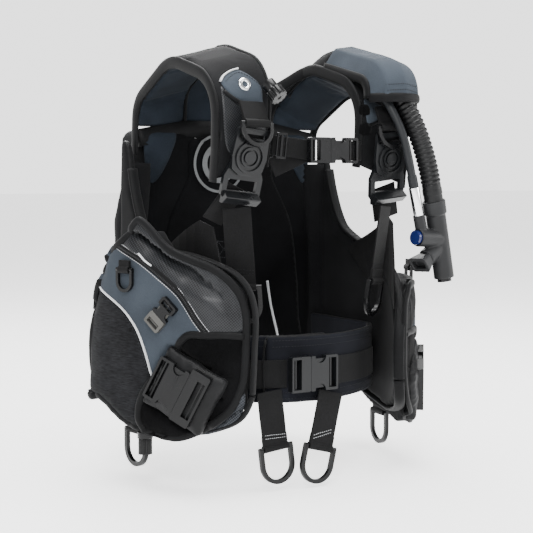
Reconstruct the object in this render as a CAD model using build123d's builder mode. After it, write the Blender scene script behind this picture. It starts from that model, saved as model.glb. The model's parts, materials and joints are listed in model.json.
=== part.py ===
"""Jacket-style buoyancy compensator vest, built as separate pieces in millimetres.

Frame: the wearer faces -Y, the wearer's left is +X and +Z is up.  The origin is on the wearer's
torso axis at the height of the waist belt.  The tank hangs behind, on an axis parallel to Z.
"right" and "left" are the wearer's.  Right-hand pieces are drawn and left-hand ones mirrored.
"""

import math
import os

from build123d import *

os.makedirs("parts", exist_ok=True)

# ---- clearances and sheet thicknesses
CLEAR = 0.4
WEB = 2.0
SKIN = 2.0

# ---- webbing widths
SHOULDER_WEB = 44.0
WAIST_WEB = 37.0
CHEST_WEB = 25.0
CLIP_WEB = 20.0

# ---- back: pad, air cell, plate and tank
BACK_Y = 115.0
PAD_THICK = 14.0
PAD_HALF = 140.0
PAD_BOTTOM = -52.0
PAD_TOP = 318.0
CELL_THICK = 28.0
WING_THICK = 55.0
WING_HALF = 168.0
WING_TOP_HALF = 146.0
PLATE_THICK = 5.0
PLATE_WIDTH = 190.0
PLATE_BOTTOM = 10.0
PLATE_TOP = 290.0
TANK_R = 92.0
BAND_WIDTH = 50.0
BAND_THICK = 2.5
BAND_Z = 135.0

# ---- lobes: the front wings, which wrap forward under the arms
LOBE_CENTRE_Y = -20.0
LOBE_R = 170.0
LOBE_THICK = 12.0
FRONT_X = 123.0
FRONT_ANGLE = math.degrees(math.acos(FRONT_X / LOBE_R))
LOBE_TOP = 150.0
LOBE_FRONT_TOP = 130.0
LEFT_FRONT_TOP = 70.0
LEFT_SHOULDER_TOP = 118.0
LOBE_BOTTOM = -80.0

# ---- cargo pockets, a crescent outside each lobe
POCKET_R = 259.0
POCKET_CENTRE = (20.5, 79.0)
POCKET_FRONT_X = 133.0
POCKET_BACK_Y = 100.0
POCKET_TOP = 186.0
POCKET_BOTTOM = -84.0
MESH_BULGE = 15.0
LEFT_POCKET_TOP = 120.0
LEFT_SAG = 14.0

# ---- weight pouches, pulled forward and down out of the pockets
POUCH_LENGTH = 88.0
POUCH_WIDTH = 82.0
POUCH_THICK = 15.0
POUCH_ANGLE = 28.0
POUCH_S = 80.0
POUCH_Z = -20.0
POUCH_STANDOFF = 5.0
BAY_GAP = 3.0
BAY_LENGTH = 200.0
BAY_HEIGHT = 80.0

# ---- shoulder pads
SHOULDER_IN = 72.0
SHOULDER_OUT = 148.0
SHOULDER_THICK = 14.0
SHOULDER_PATH = [(124, 312), (119, 372), (18, 423), (-104, 388), (-101, 300), (-96, 266)]
SHOULDER_RADII = [40, 75, 60, 60]
RIGHT_SLOPE = -0.26
LEFT_SLOPE = -0.36
LEFT_DROP = 20.0

# ---- shoulder buckles: a swivel plate above, a strap release below
SWIVEL = (-110.0, -120.0, 273.0)
STRAP_UP = Vector(11, -18, 95)

TAIL_FOOT = (-105.5, -96, 108)
TAIL_ACROSS = (0.87, -0.5, 0)

# ---- chest strap and waist belt
CHEST_Z = 283.0
CHEST_Y = -124.0
CHEST_MOUTH_X = 9.0
CHEST_BUCKLE = 33.0
CHEST_SOCKET = 43.0
CHEST_PLUG = 31.0
CHEST_ANCHOR_Y = -110.0
WAIST_CENTRE_Y = 57.0
WAIST_R = 172.0
WAIST_HALF_HEIGHT = 44.0
CUMMERBUND_THICK = 8.0
WAIST_MOUTH_X = -21.0
WAIST_BUCKLE = 46.0
WAIST_SOCKET = 42.0
WAIST_PLUG = 29.0
WAIST_BUCKLE_Y = -124.0
WAIST_BUCKLE_Z = -5.0
WAIST_TAIL_RIGHT = [(-73, -109, -26), (-66, -113, -98)]
WAIST_TAIL_LEFT = [(15, -121, -32), (-4, -124, -103)]
BUCKLE_THICK = 10.0

# ---- rings
RING_BAR_R = 2.6
RING_SECTION = 5.6
RING_HEIGHT = 48.0

LOBE_RING = (-200, 18, -84)

# ---- hardware on the pockets: places are arc length behind the front edge, and height
POUCH_BUCKLE = 58.0
POUCH_SOCKET = 44.0
POUCH_PLUG = 27.0
CLIP_S = 112.0
CLIP_POCKET_Z = 74.0
CLIP_OUT = 6.0
CLIP_TURN = 134.0
CLIP_WIDTH = 25.0
CLIP_SOCKET = 25.0
CLIP_PLUG = 18.0
RING_S = 165.0
RING_POCKET_Z = 131.0
RING_OUT = 7.0
ZIP_LINE = [(183, 158), (150, 146), (118, 126), (89, 102), (66, 72), (52, 50)]
ZIP_OUT = 3.2
ZIP_WIDTH = 11.0

# ---- valves
SHOULDER_DUMP = (-80, -116, 366)
DUMP_DIR = (0.25, -0.5, -0.6)
REAR_DUMP = (-208, -24, -78)

# ---- hoses and inflator, all on the left shoulder
HOSE_D = 27.0
LP_HOSE_D = 11.0
HOSE_ROUTE = [
    (112, -50, 400),
    (115, -92, 388),
    (120, -132, 353),
    (130, -148, 318),
    (143, -151, 284),
    (155, -150, 250),
    (163, -148, 217),
]
LP_ROUTE = [
    (86, -50, 399),
    (90, -92, 390),
    (95, -128, 354),
    (105, -142, 324),
    (112, -149, 298),
    (117, -151, 275),
    (122, -151, 255),
    (127.5, -150, 235),
]
ARC_SHARE = 0.45
COUPLING = 38.0
BODY_LENGTH = 62.0
MOUTH_AT = (152, -147, 140)
FOOT_AT = (183.5, -147, 112)
BUTTON_AT = (135, -149, 168)
BUTTON_ROOT = (172, -147, 166)
BUTTON_R = 9.5
MOUTH_HOLLOW = (24, 12)
MOUTH_DEPTH = 8.0
FLAP_IN = 74.0
FLAP_PATH = [(-20, 402), (-120, 377), (-122, 352)]
FLAP_ARCH = [(0, 1), (12, 24), (40, 28), (66, 20), (78, 2), (79, -14)]


def save(shape, name):
    shape.label = name
    export_step(shape, f"parts/{name}.step")


def left_of(shape, sag=0.0):
    """The mirror image of a right-hand piece; a soft left-hand piece may hang lower."""
    return mirror(shape, about=Plane.YZ, mode=Mode.PRIVATE).moved(Location((0, 0, -sag)))


def both_sides(shape, sag=0.0):
    with BuildPart() as pair:
        add(shape)
        add(left_of(shape, sag))
    return pair.part


# =====================================================================================
# back: pad, air cell, plate, tank band
# =====================================================================================
with BuildPart() as back_pad:
    with BuildSketch(Plane.XZ.offset(-BACK_Y)):
        with BuildLine():
            FilletPolyline(
                (-PAD_HALF + 30, PAD_BOTTOM),
                (PAD_HALF - 30, PAD_BOTTOM),
                (PAD_HALF + 5, PAD_BOTTOM + 60),
                (PAD_HALF + 5, 170),
                (PAD_HALF - 8, 250),
                (PAD_HALF - 2, PAD_TOP),
                (SHOULDER_IN + 2, PAD_TOP),
                (44, PAD_TOP - 16),
                (-44, PAD_TOP - 16),
                (-SHOULDER_IN - 2, PAD_TOP),
                (-PAD_HALF + 2, PAD_TOP),
                (-PAD_HALF + 8, 250),
                (-PAD_HALF - 5, 170),
                (-PAD_HALF - 5, PAD_BOTTOM + 60),
                radius=9,
                close=True,
            )
        make_face()
    extrude(amount=-PAD_THICK)

cell_front = BACK_Y + PAD_THICK + CLEAR
cell_back = cell_front + CELL_THICK
wing_back = cell_front + WING_THICK
with BuildPart() as air_cell_back:
    with BuildSketch(Plane.XY.offset(-50)):
        with BuildLine():
            FilletPolyline(
                (-WING_HALF, cell_front),
                (WING_HALF, cell_front),
                (WING_HALF - 14, wing_back),
                (104, wing_back),
                (84, cell_back),
                (-84, cell_back),
                (-104, wing_back),
                (-WING_HALF + 14, wing_back),
                radius=6,
                close=True,
            )
        make_face()
    extrude(amount=380)
    with BuildSketch(Plane.XZ.offset(-cell_front + 20)):
        with BuildLine():
            FilletPolyline(
                (-120, -46),
                (120, -46),
                (WING_HALF, 10),
                (WING_HALF, 120),
                (WING_TOP_HALF, 240),
                (WING_TOP_HALF - 6, 316),
                (70, 316),
                (46, 300),
                (-46, 300),
                (-70, 316),
                (-WING_TOP_HALF + 6, 316),
                (-WING_TOP_HALF, 240),
                (-WING_HALF, 120),
                (-WING_HALF, 10),
                radius=14,
                close=True,
            )
        make_face()
    extrude(amount=-140, mode=Mode.INTERSECT)

plate_front = cell_back + CLEAR
plate_back = plate_front + PLATE_THICK
tank_y = plate_back + BAND_THICK + 1.0 + TANK_R
band_low = BAND_Z - BAND_WIDTH / 2
band_high = BAND_Z + BAND_WIDTH / 2
with BuildPart() as backplate:
    plate_mid = (PLATE_TOP + PLATE_BOTTOM) / 2
    with BuildSketch(Plane.XZ.offset(-plate_front)):
        with Locations((0, plate_mid)):
            RectangleRounded(PLATE_WIDTH - 32, PLATE_TOP - PLATE_BOTTOM, 30)
        with Locations((0, PLATE_TOP - 26)):
            SlotOverall(90, 22, mode=Mode.SUBTRACT)
        with Locations((0, 60), (0, 215)):
            SlotOverall(46, 26, mode=Mode.SUBTRACT)
    extrude(amount=-PLATE_THICK)
    rib_x = 40.0
    rib_depth = tank_y - math.sqrt(TANK_R**2 - (rib_x + 4) ** 2) - plate_back - 4.5
    for low, high in ((PLATE_BOTTOM + 20, band_low - 5), (band_high + 5, PLATE_TOP - 50)):
        with Locations(
            (-rib_x, plate_back + rib_depth / 2, (low + high) / 2),
            (rib_x, plate_back + rib_depth / 2, (low + high) / 2),
        ):
            Box(8, rib_depth, high - low)

with BuildPart() as tank_band:
    with BuildSketch(Plane.XY.offset(band_low)):
        with Locations((0, tank_y)):
            Circle(TANK_R + BAND_THICK)
            Circle(TANK_R, mode=Mode.SUBTRACT)
    extrude(amount=BAND_WIDTH)


def band_sector(r_in, r_out, start, sweep, low, high):
    """A curved plate that follows the tank band, between two angles about the tank's axis."""
    with BuildPart() as sector:
        with BuildSketch(Plane.XY.offset(low)):
            with BuildLine():
                outer = CenterArc((0, tank_y), r_out, start, sweep)
                inner = CenterArc((0, tank_y), r_in, start, sweep)
                Line(outer @ 0, inner @ 0)
                Line(outer @ 1, inner @ 1)
            make_face()
        extrude(amount=high - low)
    return sector.part


cam_r = TANK_R + BAND_THICK + CLEAR
cam_base_thick = 5.0
lever_r = cam_r + cam_base_thick + CLEAR
LEVER_PIN_ANGLE = 68.0
LEVER_SWEEP = 34.0
pin_r = 3.0
knuckle_r = 6.0
pin_axis_r = lever_r + knuckle_r + 1
lever_pin = Vector(
    pin_axis_r * math.cos(math.radians(LEVER_PIN_ANGLE)),
    tank_y + pin_axis_r * math.sin(math.radians(LEVER_PIN_ANGLE)),
    BAND_Z,
)
with BuildPart() as cam_buckle:
    add(band_sector(cam_r, cam_r + cam_base_thick, 30, 46, band_low - 4, band_high + 4))
    for z_ear in (band_low - 3, band_high + 3):
        with Locations((lever_pin.X, lever_pin.Y, z_ear)):
            Cylinder(knuckle_r + 3, 4)
    with Locations(lever_pin):
        Cylinder(pin_r, BAND_WIDTH + 8)
with BuildPart() as cam_lever:
    add(
        band_sector(
            lever_r + 1, lever_r + 7, LEVER_PIN_ANGLE - 4 - LEVER_SWEEP, LEVER_SWEEP,
            band_low + 3, band_high - 3,
        )
    )
    with Locations(lever_pin):
        Cylinder(knuckle_r, BAND_WIDTH - 6)
        Cylinder(pin_r + 0.1, BAND_WIDTH - 6, mode=Mode.SUBTRACT)

save(back_pad.part, "back_pad")
save(air_cell_back.part, "air_cell_back")
save(backplate.part, "backplate")
save(tank_band.part, "tank_band")
save(cam_buckle.part, "cam_buckle")
save(cam_lever.part, "cam_lever")

# =====================================================================================
# lobes and cargo pockets
# =====================================================================================
lobe_in_r = LOBE_R - LOBE_THICK
lobe_back_y = cell_front - CLEAR - 1


def lobe(front_top, shoulder_top):
    """A right-hand lobe: a curved wall cut to the lobe's outline as seen from the side."""
    with BuildPart() as wall:
        with BuildSketch(Plane.XY.offset(LOBE_BOTTOM)):
            with BuildLine():
                outer = CenterArc((0, LOBE_CENTRE_Y), LOBE_R, 180, FRONT_ANGLE)
                inner = CenterArc((0, LOBE_CENTRE_Y), lobe_in_r, 180, FRONT_ANGLE)
                Line(outer @ 1, inner @ 1)
                Polyline(
                    inner @ 0, (-lobe_in_r, lobe_back_y), (-LOBE_R, lobe_back_y), outer @ 0
                )
            make_face()
        extrude(amount=400)
        with BuildSketch(Plane.YZ.offset(-LOBE_R - 10)):
            with BuildLine():
                FilletPolyline(
                    (-141, -28),
                    (-141, front_top - 34),
                    (-118, front_top),
                    (-60, shoulder_top),
                    (12, LOBE_TOP + 4),
                    (60, 176),
                    (88, 226),
                    (112, 300),
                    (140, 300),
                    (140, -34),
                    (60, -44),
                    (-60, LOBE_BOTTOM + 3),
                    (-106, -66),
                    radius=14,
                    close=True,
                )
            make_face()
        extrude(amount=LOBE_R, mode=Mode.INTERSECT)
    return wall.part


pocket_in_r = LOBE_R + CLEAR
pocket_centre = Vector(*POCKET_CENTRE)


def pocket_point(s, z, out=0.0):
    """The point on the right pocket's outer face at arc length s behind the front edge."""
    front_y = LOBE_CENTRE_Y - math.sqrt(LOBE_R**2 - FRONT_X**2)
    start = math.atan2(front_y - pocket_centre.Y, -FRONT_X - pocket_centre.X)
    a = start - s / POCKET_R
    r = POCKET_R + out
    return Vector(pocket_centre.X + r * math.cos(a), pocket_centre.Y + r * math.sin(a), z)


def pocket_plane(s, z, out=0.0, turn=0.0):
    """A plane lying on the right pocket: x forward along the face, turned down by turn degrees."""
    at = pocket_point(s, z, out)
    normal = (pocket_point(s, z, 1.0) - pocket_point(s, z)).normalized()
    forward = normal.cross(Vector(0, 0, 1)) * -1
    forward = forward.rotate(Axis((0, 0, 0), normal), -turn)
    return Plane(origin=at, x_dir=forward, z_dir=normal)


pouch_plane = pocket_plane(POUCH_S, POUCH_Z, POUCH_STANDOFF, POUCH_ANGLE)
ZIP_TOP = pocket_point(186, 163)
ZIP_FOOT = pocket_point(50, 60)
mesh_top = Vector(-LOBE_R, -40, LOBE_TOP + 12)
mesh_normal = (ZIP_FOOT - ZIP_TOP).cross(mesh_top - ZIP_TOP).normalized()
mesh_plane = Plane(origin=ZIP_TOP + mesh_normal * MESH_BULGE, z_dir=mesh_normal)
with BuildPart() as pocket_right:
    with BuildSketch(Plane.XY.offset(POCKET_BOTTOM - 10)):
        with Locations(POCKET_CENTRE):
            Circle(POCKET_R)
        with Locations((0, LOBE_CENTRE_Y)):
            Circle(pocket_in_r, mode=Mode.SUBTRACT)
        with BuildLine():
            Polyline(
                (-POCKET_FRONT_X, -200),
                (-POCKET_FRONT_X, LOBE_CENTRE_Y),
                (-pocket_in_r, LOBE_CENTRE_Y),
                (-pocket_in_r, POCKET_BACK_Y),
                (-POCKET_R, POCKET_BACK_Y - 28),
                (-POCKET_R, -200),
                close=True,
            )
        make_face(mode=Mode.INTERSECT)
    extrude(amount=300)
    with BuildSketch(Plane.YZ.offset(-POCKET_R)):
        with BuildLine():
            FilletPolyline(
                (-141, -24),
                (-141, 92),
                (-118, 126),
                (-50, 150),
                (-12, POCKET_TOP - 4),
                (10, POCKET_TOP - 14),
                (36, 140),
                (66, 72),
                (90, 20),
                (90, -34),
                (50, -44),
                (-2, -70),
                (-68, POCKET_BOTTOM),
                (-108, -66),
                radius=10,
                close=True,
            )
        make_face()
    extrude(amount=POCKET_R, mode=Mode.INTERSECT)
    split(bisect_by=mesh_plane, keep=Keep.BOTTOM)
    with Locations(pouch_plane):
        bay_back = BAY_LENGTH / 2 - POUCH_LENGTH / 2 - BAY_GAP
        with Locations((bay_back, 0, BAY_HEIGHT / 2 - POUCH_THICK - 1)):
            Box(BAY_LENGTH, POUCH_WIDTH + 2 * BAY_GAP, BAY_HEIGHT, mode=Mode.SUBTRACT)


save(lobe(LOBE_FRONT_TOP, LOBE_TOP - 2), "lobe_right")
save(left_of(lobe(LEFT_FRONT_TOP, LEFT_SHOULDER_TOP)), "lobe_left")
save(pocket_right.part, "pocket_right")
with BuildPart() as pocket_low:
    add(pocket_right.part)
    split(bisect_by=Plane.XY.offset(LEFT_POCKET_TOP), keep=Keep.BOTTOM)
save(left_of(pocket_low.part, LEFT_SAG), "pocket_left")


# =====================================================================================
# small builders: webbing, rods, rings
# =====================================================================================
def flat_strap(start, end, across, width, thick=WEB):
    """A straight flat strap between the centres of its two ends."""
    start, end, across = Vector(*start), Vector(*end), Vector(*across)
    along = (end - start).normalized()
    facing = along.cross(across).normalized()
    with BuildPart() as strap:
        with BuildSketch(Plane(origin=start, x_dir=facing.cross(along), z_dir=along)):
            Rectangle(width, thick)
        extrude(amount=(end - start).length)
    return strap.part


def rod(start, end, radius, end_radius=None):
    """A round rod or cone between two points."""
    start, end = Vector(*start), Vector(*end)
    length = (end - start).length
    with BuildPart() as bar:
        with BuildSketch(Plane(origin=start, z_dir=end - start)):
            Circle(radius)
        if end_radius:
            with BuildSketch(Plane(origin=end, z_dir=end - start)):
                Circle(end_radius)
            loft()
        else:
            extrude(amount=length)
    return bar.part


def d_ring(plane, inside, height, section=RING_SECTION, bend=0.0):
    """A D-ring: a bar along the plane's x axis through its origin and a bow below it.

    A bent ring has its bow turned out of the plane by an angle, just below the bar."""
    half = inside / 2 + section
    straight = height - half
    with BuildPart() as ring:
        with BuildSketch(plane):
            with Locations((0, -straight / 2)):
                Rectangle(2 * half, straight)
            with Locations((0, -straight)):
                Circle(half)
            with Locations((0, -straight / 2)):
                Rectangle(inside, straight, mode=Mode.SUBTRACT)
            with Locations((0, -straight)):
                Circle(inside / 2, mode=Mode.SUBTRACT)
            with Locations((0, half)):
                Rectangle(2 * half, 2 * half, mode=Mode.SUBTRACT)
        extrude(amount=section / 2, both=True)
        if bend:
            body = ring.part.rotate(Axis(plane.origin, plane.x_dir), bend)
            add(body, mode=Mode.REPLACE)
        with BuildSketch(Plane(origin=plane.origin, z_dir=plane.x_dir)):
            Circle(RING_BAR_R)
        extrude(amount=half, both=True)
    return ring.part


def keeper(plane, length, width, bar_r=RING_BAR_R):
    """Webbing folded round a bar: the plane is across the bar and its y axis runs up the webbing."""
    hole = bar_r + CLEAR
    with BuildPart() as fold:
        with BuildSketch(plane):
            Circle(hole + WEB)
            with Locations((0, length / 2)):
                Rectangle(2 * WEB, length)
            Circle(hole, mode=Mode.SUBTRACT)
        extrude(amount=width / 2, both=True)
    return fold.part


# =====================================================================================
# shoulders: pads, hose flap, webbing loops and rings
# =====================================================================================
def shoulder_pad(side, slope, drop):
    """One shoulder pad: the side view, carried outwards and down from the neck edge.

    Its three crown corners may drop, and it is cut off just above the back pad."""
    outwards = Vector(side, 0, slope)
    crown = [(y, z - drop) for y, z in SHOULDER_PATH[1:4]]
    with BuildPart() as pad:
        with BuildSketch(Plane.YZ.offset(side * SHOULDER_IN)):
            with BuildLine():
                FilletPolyline(
                    SHOULDER_PATH[0], *crown, *SHOULDER_PATH[4:], radius=SHOULDER_RADII
                )
            trace(line_width=SHOULDER_THICK)
        extrude(amount=(SHOULDER_OUT - SHOULDER_IN) * outwards.length, dir=outwards.normalized())
        with Locations((0, BACK_Y, PAD_TOP + CLEAR - 100)):
            Box(2 * SHOULDER_OUT + 20, 80, 200, mode=Mode.SUBTRACT)
    return pad.part


save(shoulder_pad(-1, RIGHT_SLOPE, 0), "shoulder_pad_right")
save(shoulder_pad(1, LEFT_SLOPE, LEFT_DROP), "shoulder_pad_left")

strap_up = STRAP_UP.normalized()
swivel_front = Vector(0, -1, 0)
swivel_across = strap_up.cross(swivel_front).normalized()
swivel_plane = Plane(origin=SWIVEL, x_dir=swivel_across, z_dir=swivel_across.cross(strap_up))


def on_swivel(x, y, z=0.0):
    return swivel_plane.from_local_coords(Vector(x, y, z))


def swivel_level(z):
    return swivel_plane.offset(z)


plate_thick = 5.0
plate_top = 36.0
slot_low = 22.0
slot_high = 29.0
slot_bar = (slot_high + plate_top) / 2
with BuildPart() as swivel_plate:
    with BuildSketch(swivel_level(-plate_thick / 2)):
        with BuildLine():
            FilletPolyline(
                (-23, plate_top),
                (23, plate_top),
                (25, 0),
                (22, -17),
                (10, -24),
                (-10, -24),
                (-22, -17),
                (-25, 0),
                radius=4,
                close=True,
            )
        make_face()
        with Locations((0, (slot_low + slot_high) / 2)):
            Rectangle(SHOULDER_WEB - 4, slot_high - slot_low, mode=Mode.SUBTRACT)
    extrude(amount=plate_thick)
    with BuildSketch(swivel_level(plate_thick / 2)):
        Circle(20)
        Circle(17, mode=Mode.SUBTRACT)
        Circle(13)
        Circle(10.5, mode=Mode.SUBTRACT)
        Circle(8)
    extrude(amount=2.5)

release_top = -9.0
window_high = -30.0
window_low = -44.0
lip_low = -60.0
release_back = -plate_thick / 2 - CLEAR
release_thick = 6.0
with BuildPart() as shoulder_release:
    with BuildSketch(swivel_level(release_back - release_thick)):
        with BuildLine():
            FilletPolyline(
                (-20, release_top),
                (20, release_top),
                (28, window_high + 4),
                (28, window_low - 6),
                (20, lip_low),
                (-20, lip_low),
                (-28, window_low - 6),
                (-28, window_high + 4),
                radius=4,
                close=True,
            )
        make_face()
        with Locations((0, (window_high + window_low) / 2)):
            Rectangle(SHOULDER_WEB - 2, window_high - window_low, mode=Mode.SUBTRACT)
    extrude(amount=release_thick)
    lip_depth = 12.0
    with BuildSketch(Plane(origin=on_swivel(-25, 0), x_dir=strap_up, z_dir=swivel_across)):
        with BuildLine():
            FilletPolyline(
                (window_low - 1, release_back + 0.5),
                (window_low - 1, release_back - release_thick + 1),
                (lip_low - 1, release_back - release_thick + 1),
                (lip_low - 1, release_back + 2),
                (window_low - 8, release_back + lip_depth),
                radius=1.2,
                close=True,
            )
        make_face()
    extrude(amount=50)

ring_bar = on_swivel(0, slot_bar + 11, 3.4)
loop_up = Vector(0, 0.45, 0.89)
loop_across = (swivel_across - loop_up * swivel_across.dot(loop_up)).normalized()
loop_plane = Plane(origin=ring_bar, x_dir=loop_up.cross(loop_across), z_dir=loop_across)
plate_web_z = -plate_thick / 2 - WEB / 2 - CLEAR
plate_web = flat_strap(
    on_swivel(0, slot_low + 2, plate_web_z), on_swivel(0, slot_bar + 4, plate_web_z),
    swivel_across, SHOULDER_WEB - 8,
)
with BuildPart() as strap_loop:
    add(keeper(loop_plane, 30, SHOULDER_WEB - 8))
    add(plate_web)

shoulder_ring_plane = Plane(origin=ring_bar, x_dir=loop_across, z_dir=loop_across.cross(strap_up))
shoulder_ring = d_ring(shoulder_ring_plane, SHOULDER_WEB - 7, 30, 5.0, bend=-20)
print("shoulder_ring_right bar at", tuple(round(v, 2) for v in ring_bar), "axis",
      tuple(round(v, 4) for v in loop_across))

save(both_sides(swivel_plate.part), "swivel_plates")
save(both_sides(strap_loop.part), "shoulder_strap_loops")
save(shoulder_release.part, "shoulder_release_right")
save(left_of(shoulder_release.part), "shoulder_release_left")
save(shoulder_ring, "shoulder_ring_right")
save(left_of(shoulder_ring), "shoulder_ring_left")

# =====================================================================================
# what hangs below the shoulder buckles: load straps, gussets, tails and their rings
# =====================================================================================
gusset_out = LOBE_R - LOBE_THICK - CLEAR
gusset_apex = Vector(-143, -76, 190)
with BuildPart() as gusset:
    with BuildSketch():
        with Locations((0, LOBE_CENTRE_Y)):
            Circle(gusset_out)
            Circle(gusset_out - SKIN, mode=Mode.SUBTRACT)
    extrude(amount=LOBE_TOP + 100)
    with BuildSketch(Plane.YZ.offset(-LOBE_R)):
        with BuildLine():
            Polyline(
                (30, 148),
                (gusset_apex.Y + 10, gusset_apex.Z + 4),
                (gusset_apex.Y - 10, gusset_apex.Z - 4),
                (-112, 70),
                (-40, 60),
                close=True,
            )
        make_face()
    extrude(amount=LOBE_R, mode=Mode.INTERSECT)

load_start = on_swivel(0, window_high - 10, release_back - release_thick - 5)
load_strap = flat_strap(load_start, gusset_apex + Vector(5, 0, 3), (1, 0.1, 0), SHOULDER_WEB - 8)
save(both_sides(load_strap), "load_straps")

tail_top = on_swivel(0, lip_low - 6, release_back - release_thick / 2)
tail_width = SHOULDER_WEB - 8


def tail(top, foot, across, width, name):
    """A hanging strap tail: the strap, the fold at its foot and the ring in the fold."""
    top, foot, across = Vector(*top), Vector(*foot), Vector(*across)
    up = (top - foot).normalized()
    across = (across - up * across.dot(up)).normalized()
    fold_plane = Plane(origin=foot, x_dir=up.cross(across), z_dir=across)
    fold = keeper(fold_plane, 16, width)
    strap = flat_strap(foot + up * 16, top, across, width)
    with BuildPart() as whole:
        add(fold)
        add(strap)
    ring_plane = Plane(origin=foot, x_dir=across, z_dir=across.cross(up))
    ring = d_ring(ring_plane, width + 2, RING_HEIGHT)
    print(name, "bar at", tuple(foot), "axis", tuple(round(v, 4) for v in across))
    return whole.part, ring


shoulder_tail, tail_ring = tail(tail_top, TAIL_FOOT, TAIL_ACROSS, tail_width, "tail_ring_right")
save(shoulder_tail, "shoulder_tail_right")
save(left_of(shoulder_tail), "shoulder_tail_left")
save(tail_ring, "tail_ring_right")
save(left_of(tail_ring), "tail_ring_left")

# =====================================================================================
# waist: cummerbund, belt, buckle, tails
# =====================================================================================
SIDE_X = 147.0


def waist_point(r, x):
    """The front point at x on a circle about the waist's centre."""
    return (x, WAIST_CENTRE_Y - math.sqrt(r**2 - x**2))


def waist_sector(r_in, r_out, x_from, x_to, low, high):
    """A curved band round the waist's front between two values of x."""
    mid = (x_from + x_to) / 2
    with BuildPart() as sector:
        with BuildSketch(Plane.XY.offset(low)):
            with BuildLine():
                ThreePointArc(
                    waist_point(r_out, x_from), waist_point(r_out, mid), waist_point(r_out, x_to)
                )
                Line(waist_point(r_out, x_to), waist_point(r_in, x_to))
                ThreePointArc(
                    waist_point(r_in, x_to), waist_point(r_in, mid), waist_point(r_in, x_from)
                )
                Line(waist_point(r_in, x_from), waist_point(r_out, x_from))
            make_face()
        extrude(amount=high - low)
    return sector.part


def cummerbund(side, r_in, end_x):
    """A waist pad: straight forward from the back pad at the side, then round to the front."""
    r_out = r_in + CUMMERBUND_THICK
    front_y = waist_point(r_out, SIDE_X)[1]
    back_y = BACK_Y - CLEAR
    with BuildPart() as pad:
        add(waist_sector(r_in, r_out, side * SIDE_X, end_x, -WAIST_HALF_HEIGHT, WAIST_HALF_HEIGHT))
        with Locations((side * (SIDE_X - CUMMERBUND_THICK / 2), (front_y + back_y) / 2, 0)):
            Box(CUMMERBUND_THICK, back_y - front_y, 2 * WAIST_HALF_HEIGHT)
    return pad.part


right_r = WAIST_R - 2 * CUMMERBUND_THICK - 1
left_r = WAIST_R - CUMMERBUND_THICK
save(cummerbund(-1, right_r, 20), "cummerbund_right")
save(cummerbund(1, left_r, -70), "cummerbund_left")


def side_release(plane, width, socket_length, plug_length, thick, grip=0.0):
    """A side-release buckle, drawn about the mouth of its socket.

    The plane's x axis is the way the plug pulls out and its z axis is the front.  The socket lies
    at -x and the plug at +x, with three prongs inside the socket.  A grip widens the plug's end."""
    wall = 2.0
    rail = 3.5
    arm = 0.15 * width
    reach = 0.58 * socket_length
    room = width - 2 * rail
    slot = 0.16 * (socket_length + plug_length)
    with BuildPart() as socket:
        with BuildSketch(plane.offset(-thick / 2)):
            with Locations((-socket_length / 2, 0)):
                RectangleRounded(socket_length, width, 2.5)
            with Locations((-socket_length + 3 + slot / 2, 0)):
                Rectangle(slot, width - 2 * rail, mode=Mode.SUBTRACT)
            with Locations((-0.6 * reach, width / 2), (-0.6 * reach, -width / 2)):
                Ellipse(0.34 * reach, rail + arm - 1, mode=Mode.SUBTRACT)
        extrude(amount=thick)
        with BuildSketch(plane.offset(-thick / 2 + wall)):
            with Locations((-reach / 2 - 0.5, 0)):
                Rectangle(reach + 3, room)
        extrude(amount=thick - 2 * wall, mode=Mode.SUBTRACT)
        with BuildSketch(plane.offset(-thick / 2)):
            with Locations((-socket_length + 3 + slot / 2, 0)):
                Rectangle(2.2, width - rail)
        extrude(amount=thick / 2)
    with BuildPart() as plug:
        with BuildSketch(plane.offset(-thick / 2)):
            with Locations((CLEAR + plug_length / 2, 0)):
                RectangleRounded(plug_length, width + 2 * grip, 2.5)
            with Locations((CLEAR + plug_length - 3 - slot / 2, 0)):
                Rectangle(slot, room, mode=Mode.SUBTRACT)
        extrude(amount=thick)
        with BuildSketch(plane.offset(-thick / 2)):
            with Locations((CLEAR + plug_length - 3 - slot / 2, 0)):
                Rectangle(2.2, width - rail)
        extrude(amount=thick / 2)
        prong = thick - 2 * wall - 2 * CLEAR
        arm_y = room / 2 - CLEAR - arm / 2
        with BuildSketch(plane.offset(-prong / 2)):
            with Locations((1 - reach / 2, arm_y), (1 - reach / 2, 0), (1 - reach / 2, -arm_y)):
                Rectangle(reach + 2, arm)
        extrude(amount=prong)
    return socket.part, plug.part


# ---- waist belt, its buckle and the two pull tails
belt_r = WAIST_R + CLEAR
belt_low = WAIST_BUCKLE_Z - WAIST_WEB / 2
belt_high = WAIST_BUCKLE_Z + WAIST_WEB / 2
waist_socket_end = WAIST_MOUTH_X + WAIST_SOCKET
waist_plug_end = WAIST_MOUTH_X - WAIST_PLUG - CLEAR
belt_right = waist_sector(belt_r, belt_r + WEB, -128, waist_plug_end + 4, belt_low, belt_high)
belt_left = waist_sector(belt_r, belt_r + WEB, waist_socket_end - 4, 128, belt_low, belt_high)
waist_mouth = Plane(
    origin=(WAIST_MOUTH_X, WAIST_BUCKLE_Y, WAIST_BUCKLE_Z), x_dir=(-1, 0, 0), z_dir=(0, -1, 0)
)
waist_socket, waist_plug = side_release(
    waist_mouth, WAIST_BUCKLE, WAIST_SOCKET, WAIST_PLUG, BUCKLE_THICK
)
tail_right, waist_ring_right = tail(
    WAIST_TAIL_RIGHT[0], WAIST_TAIL_RIGHT[1], (1, 0, 0), WAIST_WEB, "waist_ring_right"
)
tail_left, waist_ring_left = tail(
    WAIST_TAIL_LEFT[0], WAIST_TAIL_LEFT[1], (1, 0, 0), WAIST_WEB, "waist_ring_left"
)
with BuildPart() as belt_and_tail:
    add(belt_left)
    add(tail_left)
save(belt_right, "waist_belt_right")
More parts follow.
